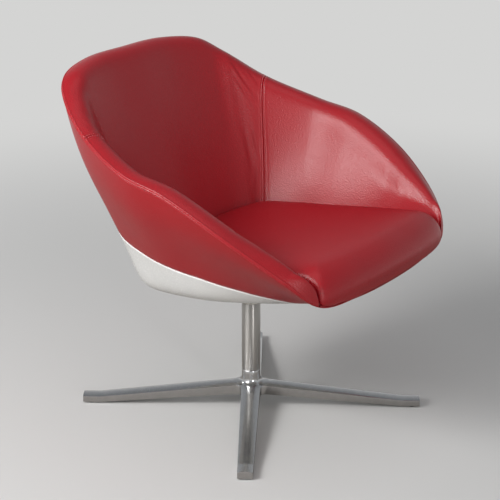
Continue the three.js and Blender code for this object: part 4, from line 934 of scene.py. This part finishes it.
def inflated(piece, voxel, pressure, most_up, most_aside):
    """Swells a closed soft piece as foam fills its cover, by cloth simulation. Its sides and underside, which are
    held by what is beside them, move only a little."""
    work = new_object("filling", piece.data.copy())
    remesh = work.modifiers.new("remesh", "REMESH")
    remesh.mode, remesh.voxel_size, remesh.use_smooth_shade = "VOXEL", voxel, True
    start = settled(work)
    work.modifiers.clear()
    work.data = start
    cloth = work.modifiers.new("cloth", "CLOTH")
    cloth.settings.use_pressure = True
    cloth.settings.uniform_pressure_force = pressure
    cloth.settings.effector_weights.gravity = 0
    cloth.settings.quality = swell_quality
    cloth.point_cache.frame_start, cloth.point_cache.frame_end = 1, swell_frames
    for frame_number in range(1, swell_frames + 1):
        scene.frame_set(frame_number)
    before = of_points(start, "co")
    move = of_points(settled(work), "co") - before
    length = np.linalg.norm(move, axis=1, keepdims=True)
    most = most_aside + (most_up - most_aside) * np.clip(of_points(start, "normal")[:, 2:] * 1.6 - 0.5, 0, 1)
    move *= np.minimum(length, most) / np.maximum(length, 1e-9)
    # The foam evens the swelling out: each point's move nears the mean of those around it, many times over.
    ends = np.empty(len(start.edges) * 2, int)
    start.edges.foreach_get("vertices", ends)
    one, other = ends.reshape(-1, 2).T
    both, neighbour = np.concatenate([one, other]), np.concatenate([other, one])
    beside = np.bincount(both, minlength=len(move))[:, None]
    for _ in range(even_passes):
        around = np.stack([np.bincount(both, move[neighbour, axis], len(move)) for axis in range(3)], 1)
        move = (1 - even_share) * move + even_share * around / beside
    start.vertices.foreach_set("co", (before + move).ravel())
    scene.frame_set(1)
    bm = bmesh.new()
    bm.from_mesh(start)
    for _ in range(2):
        bmesh.ops.smooth_vert(bm, verts=bm.verts, factor=0.5, use_axis_x=True, use_axis_y=True, use_axis_z=True)
    bm.to_mesh(start)
    bm.free()
    bpy.data.objects.remove(work)
    start.shade_smooth()
    piece.data = start
    finer = piece.modifiers.new("subdivision", "SUBSURF")
    finer.levels = finer.render_levels = 1


inflated(cushion, voxel=0.006, pressure=4.0, most_up=0.006, most_aside=0.0008)
cushion.data.materials.clear()
cushion.data.materials.append(leather)

# Carried-over solids inside the chair: the frame of moulded black polypropylene, the seat board of birch plywood
# with a grain 17 mm wide, the nylon lower bush, and the zinc-plated spindle, plate, bolts and screws.
black_plastic, tree, place = new_material("moulded_black_polypropylene")
spark = add(tree, "TexNoise", {"Vector": place}, in_Scale=700.0)
relief = add(tree, "Bump", {"Height": spark}, in_Strength=0.2, in_Distance=0.0005)
shader = add(tree, "BsdfPrincipled", {"Normal": relief}, in_Base_Color="#202122", in_Roughness=0.6, in_IOR=1.49)
add(tree, "OutputMaterial", {"Surface": shader})

birch, tree, place = new_material("birch_plywood")
grain_lay = add(tree, "Mapping", {"Vector": place}, in_3=(60.0, 6.0, 60.0))
figure = add(tree, "TexNoise", {"Vector": grain_lay}, in_Scale=1.0, in_Detail=4.0)
tint = add(tree, "Mix", {0: figure}, data_type="RGBA", in_6="#bd9a66", in_7="#d6b98c")
shader = add(tree, "BsdfPrincipled", {"Base Color": tint.outputs[2]}, in_Roughness=0.7)
add(tree, "OutputMaterial", {"Surface": shader})

finishes = {"tub_frame": black_plastic, "seat_board": birch, "lower_bush": nylon}
for node, piece in frame["nodes"].items():
    if not piece.hide_render:
        piece.data.materials.clear()
        piece.data.materials.append(finishes.get(node, zinc))
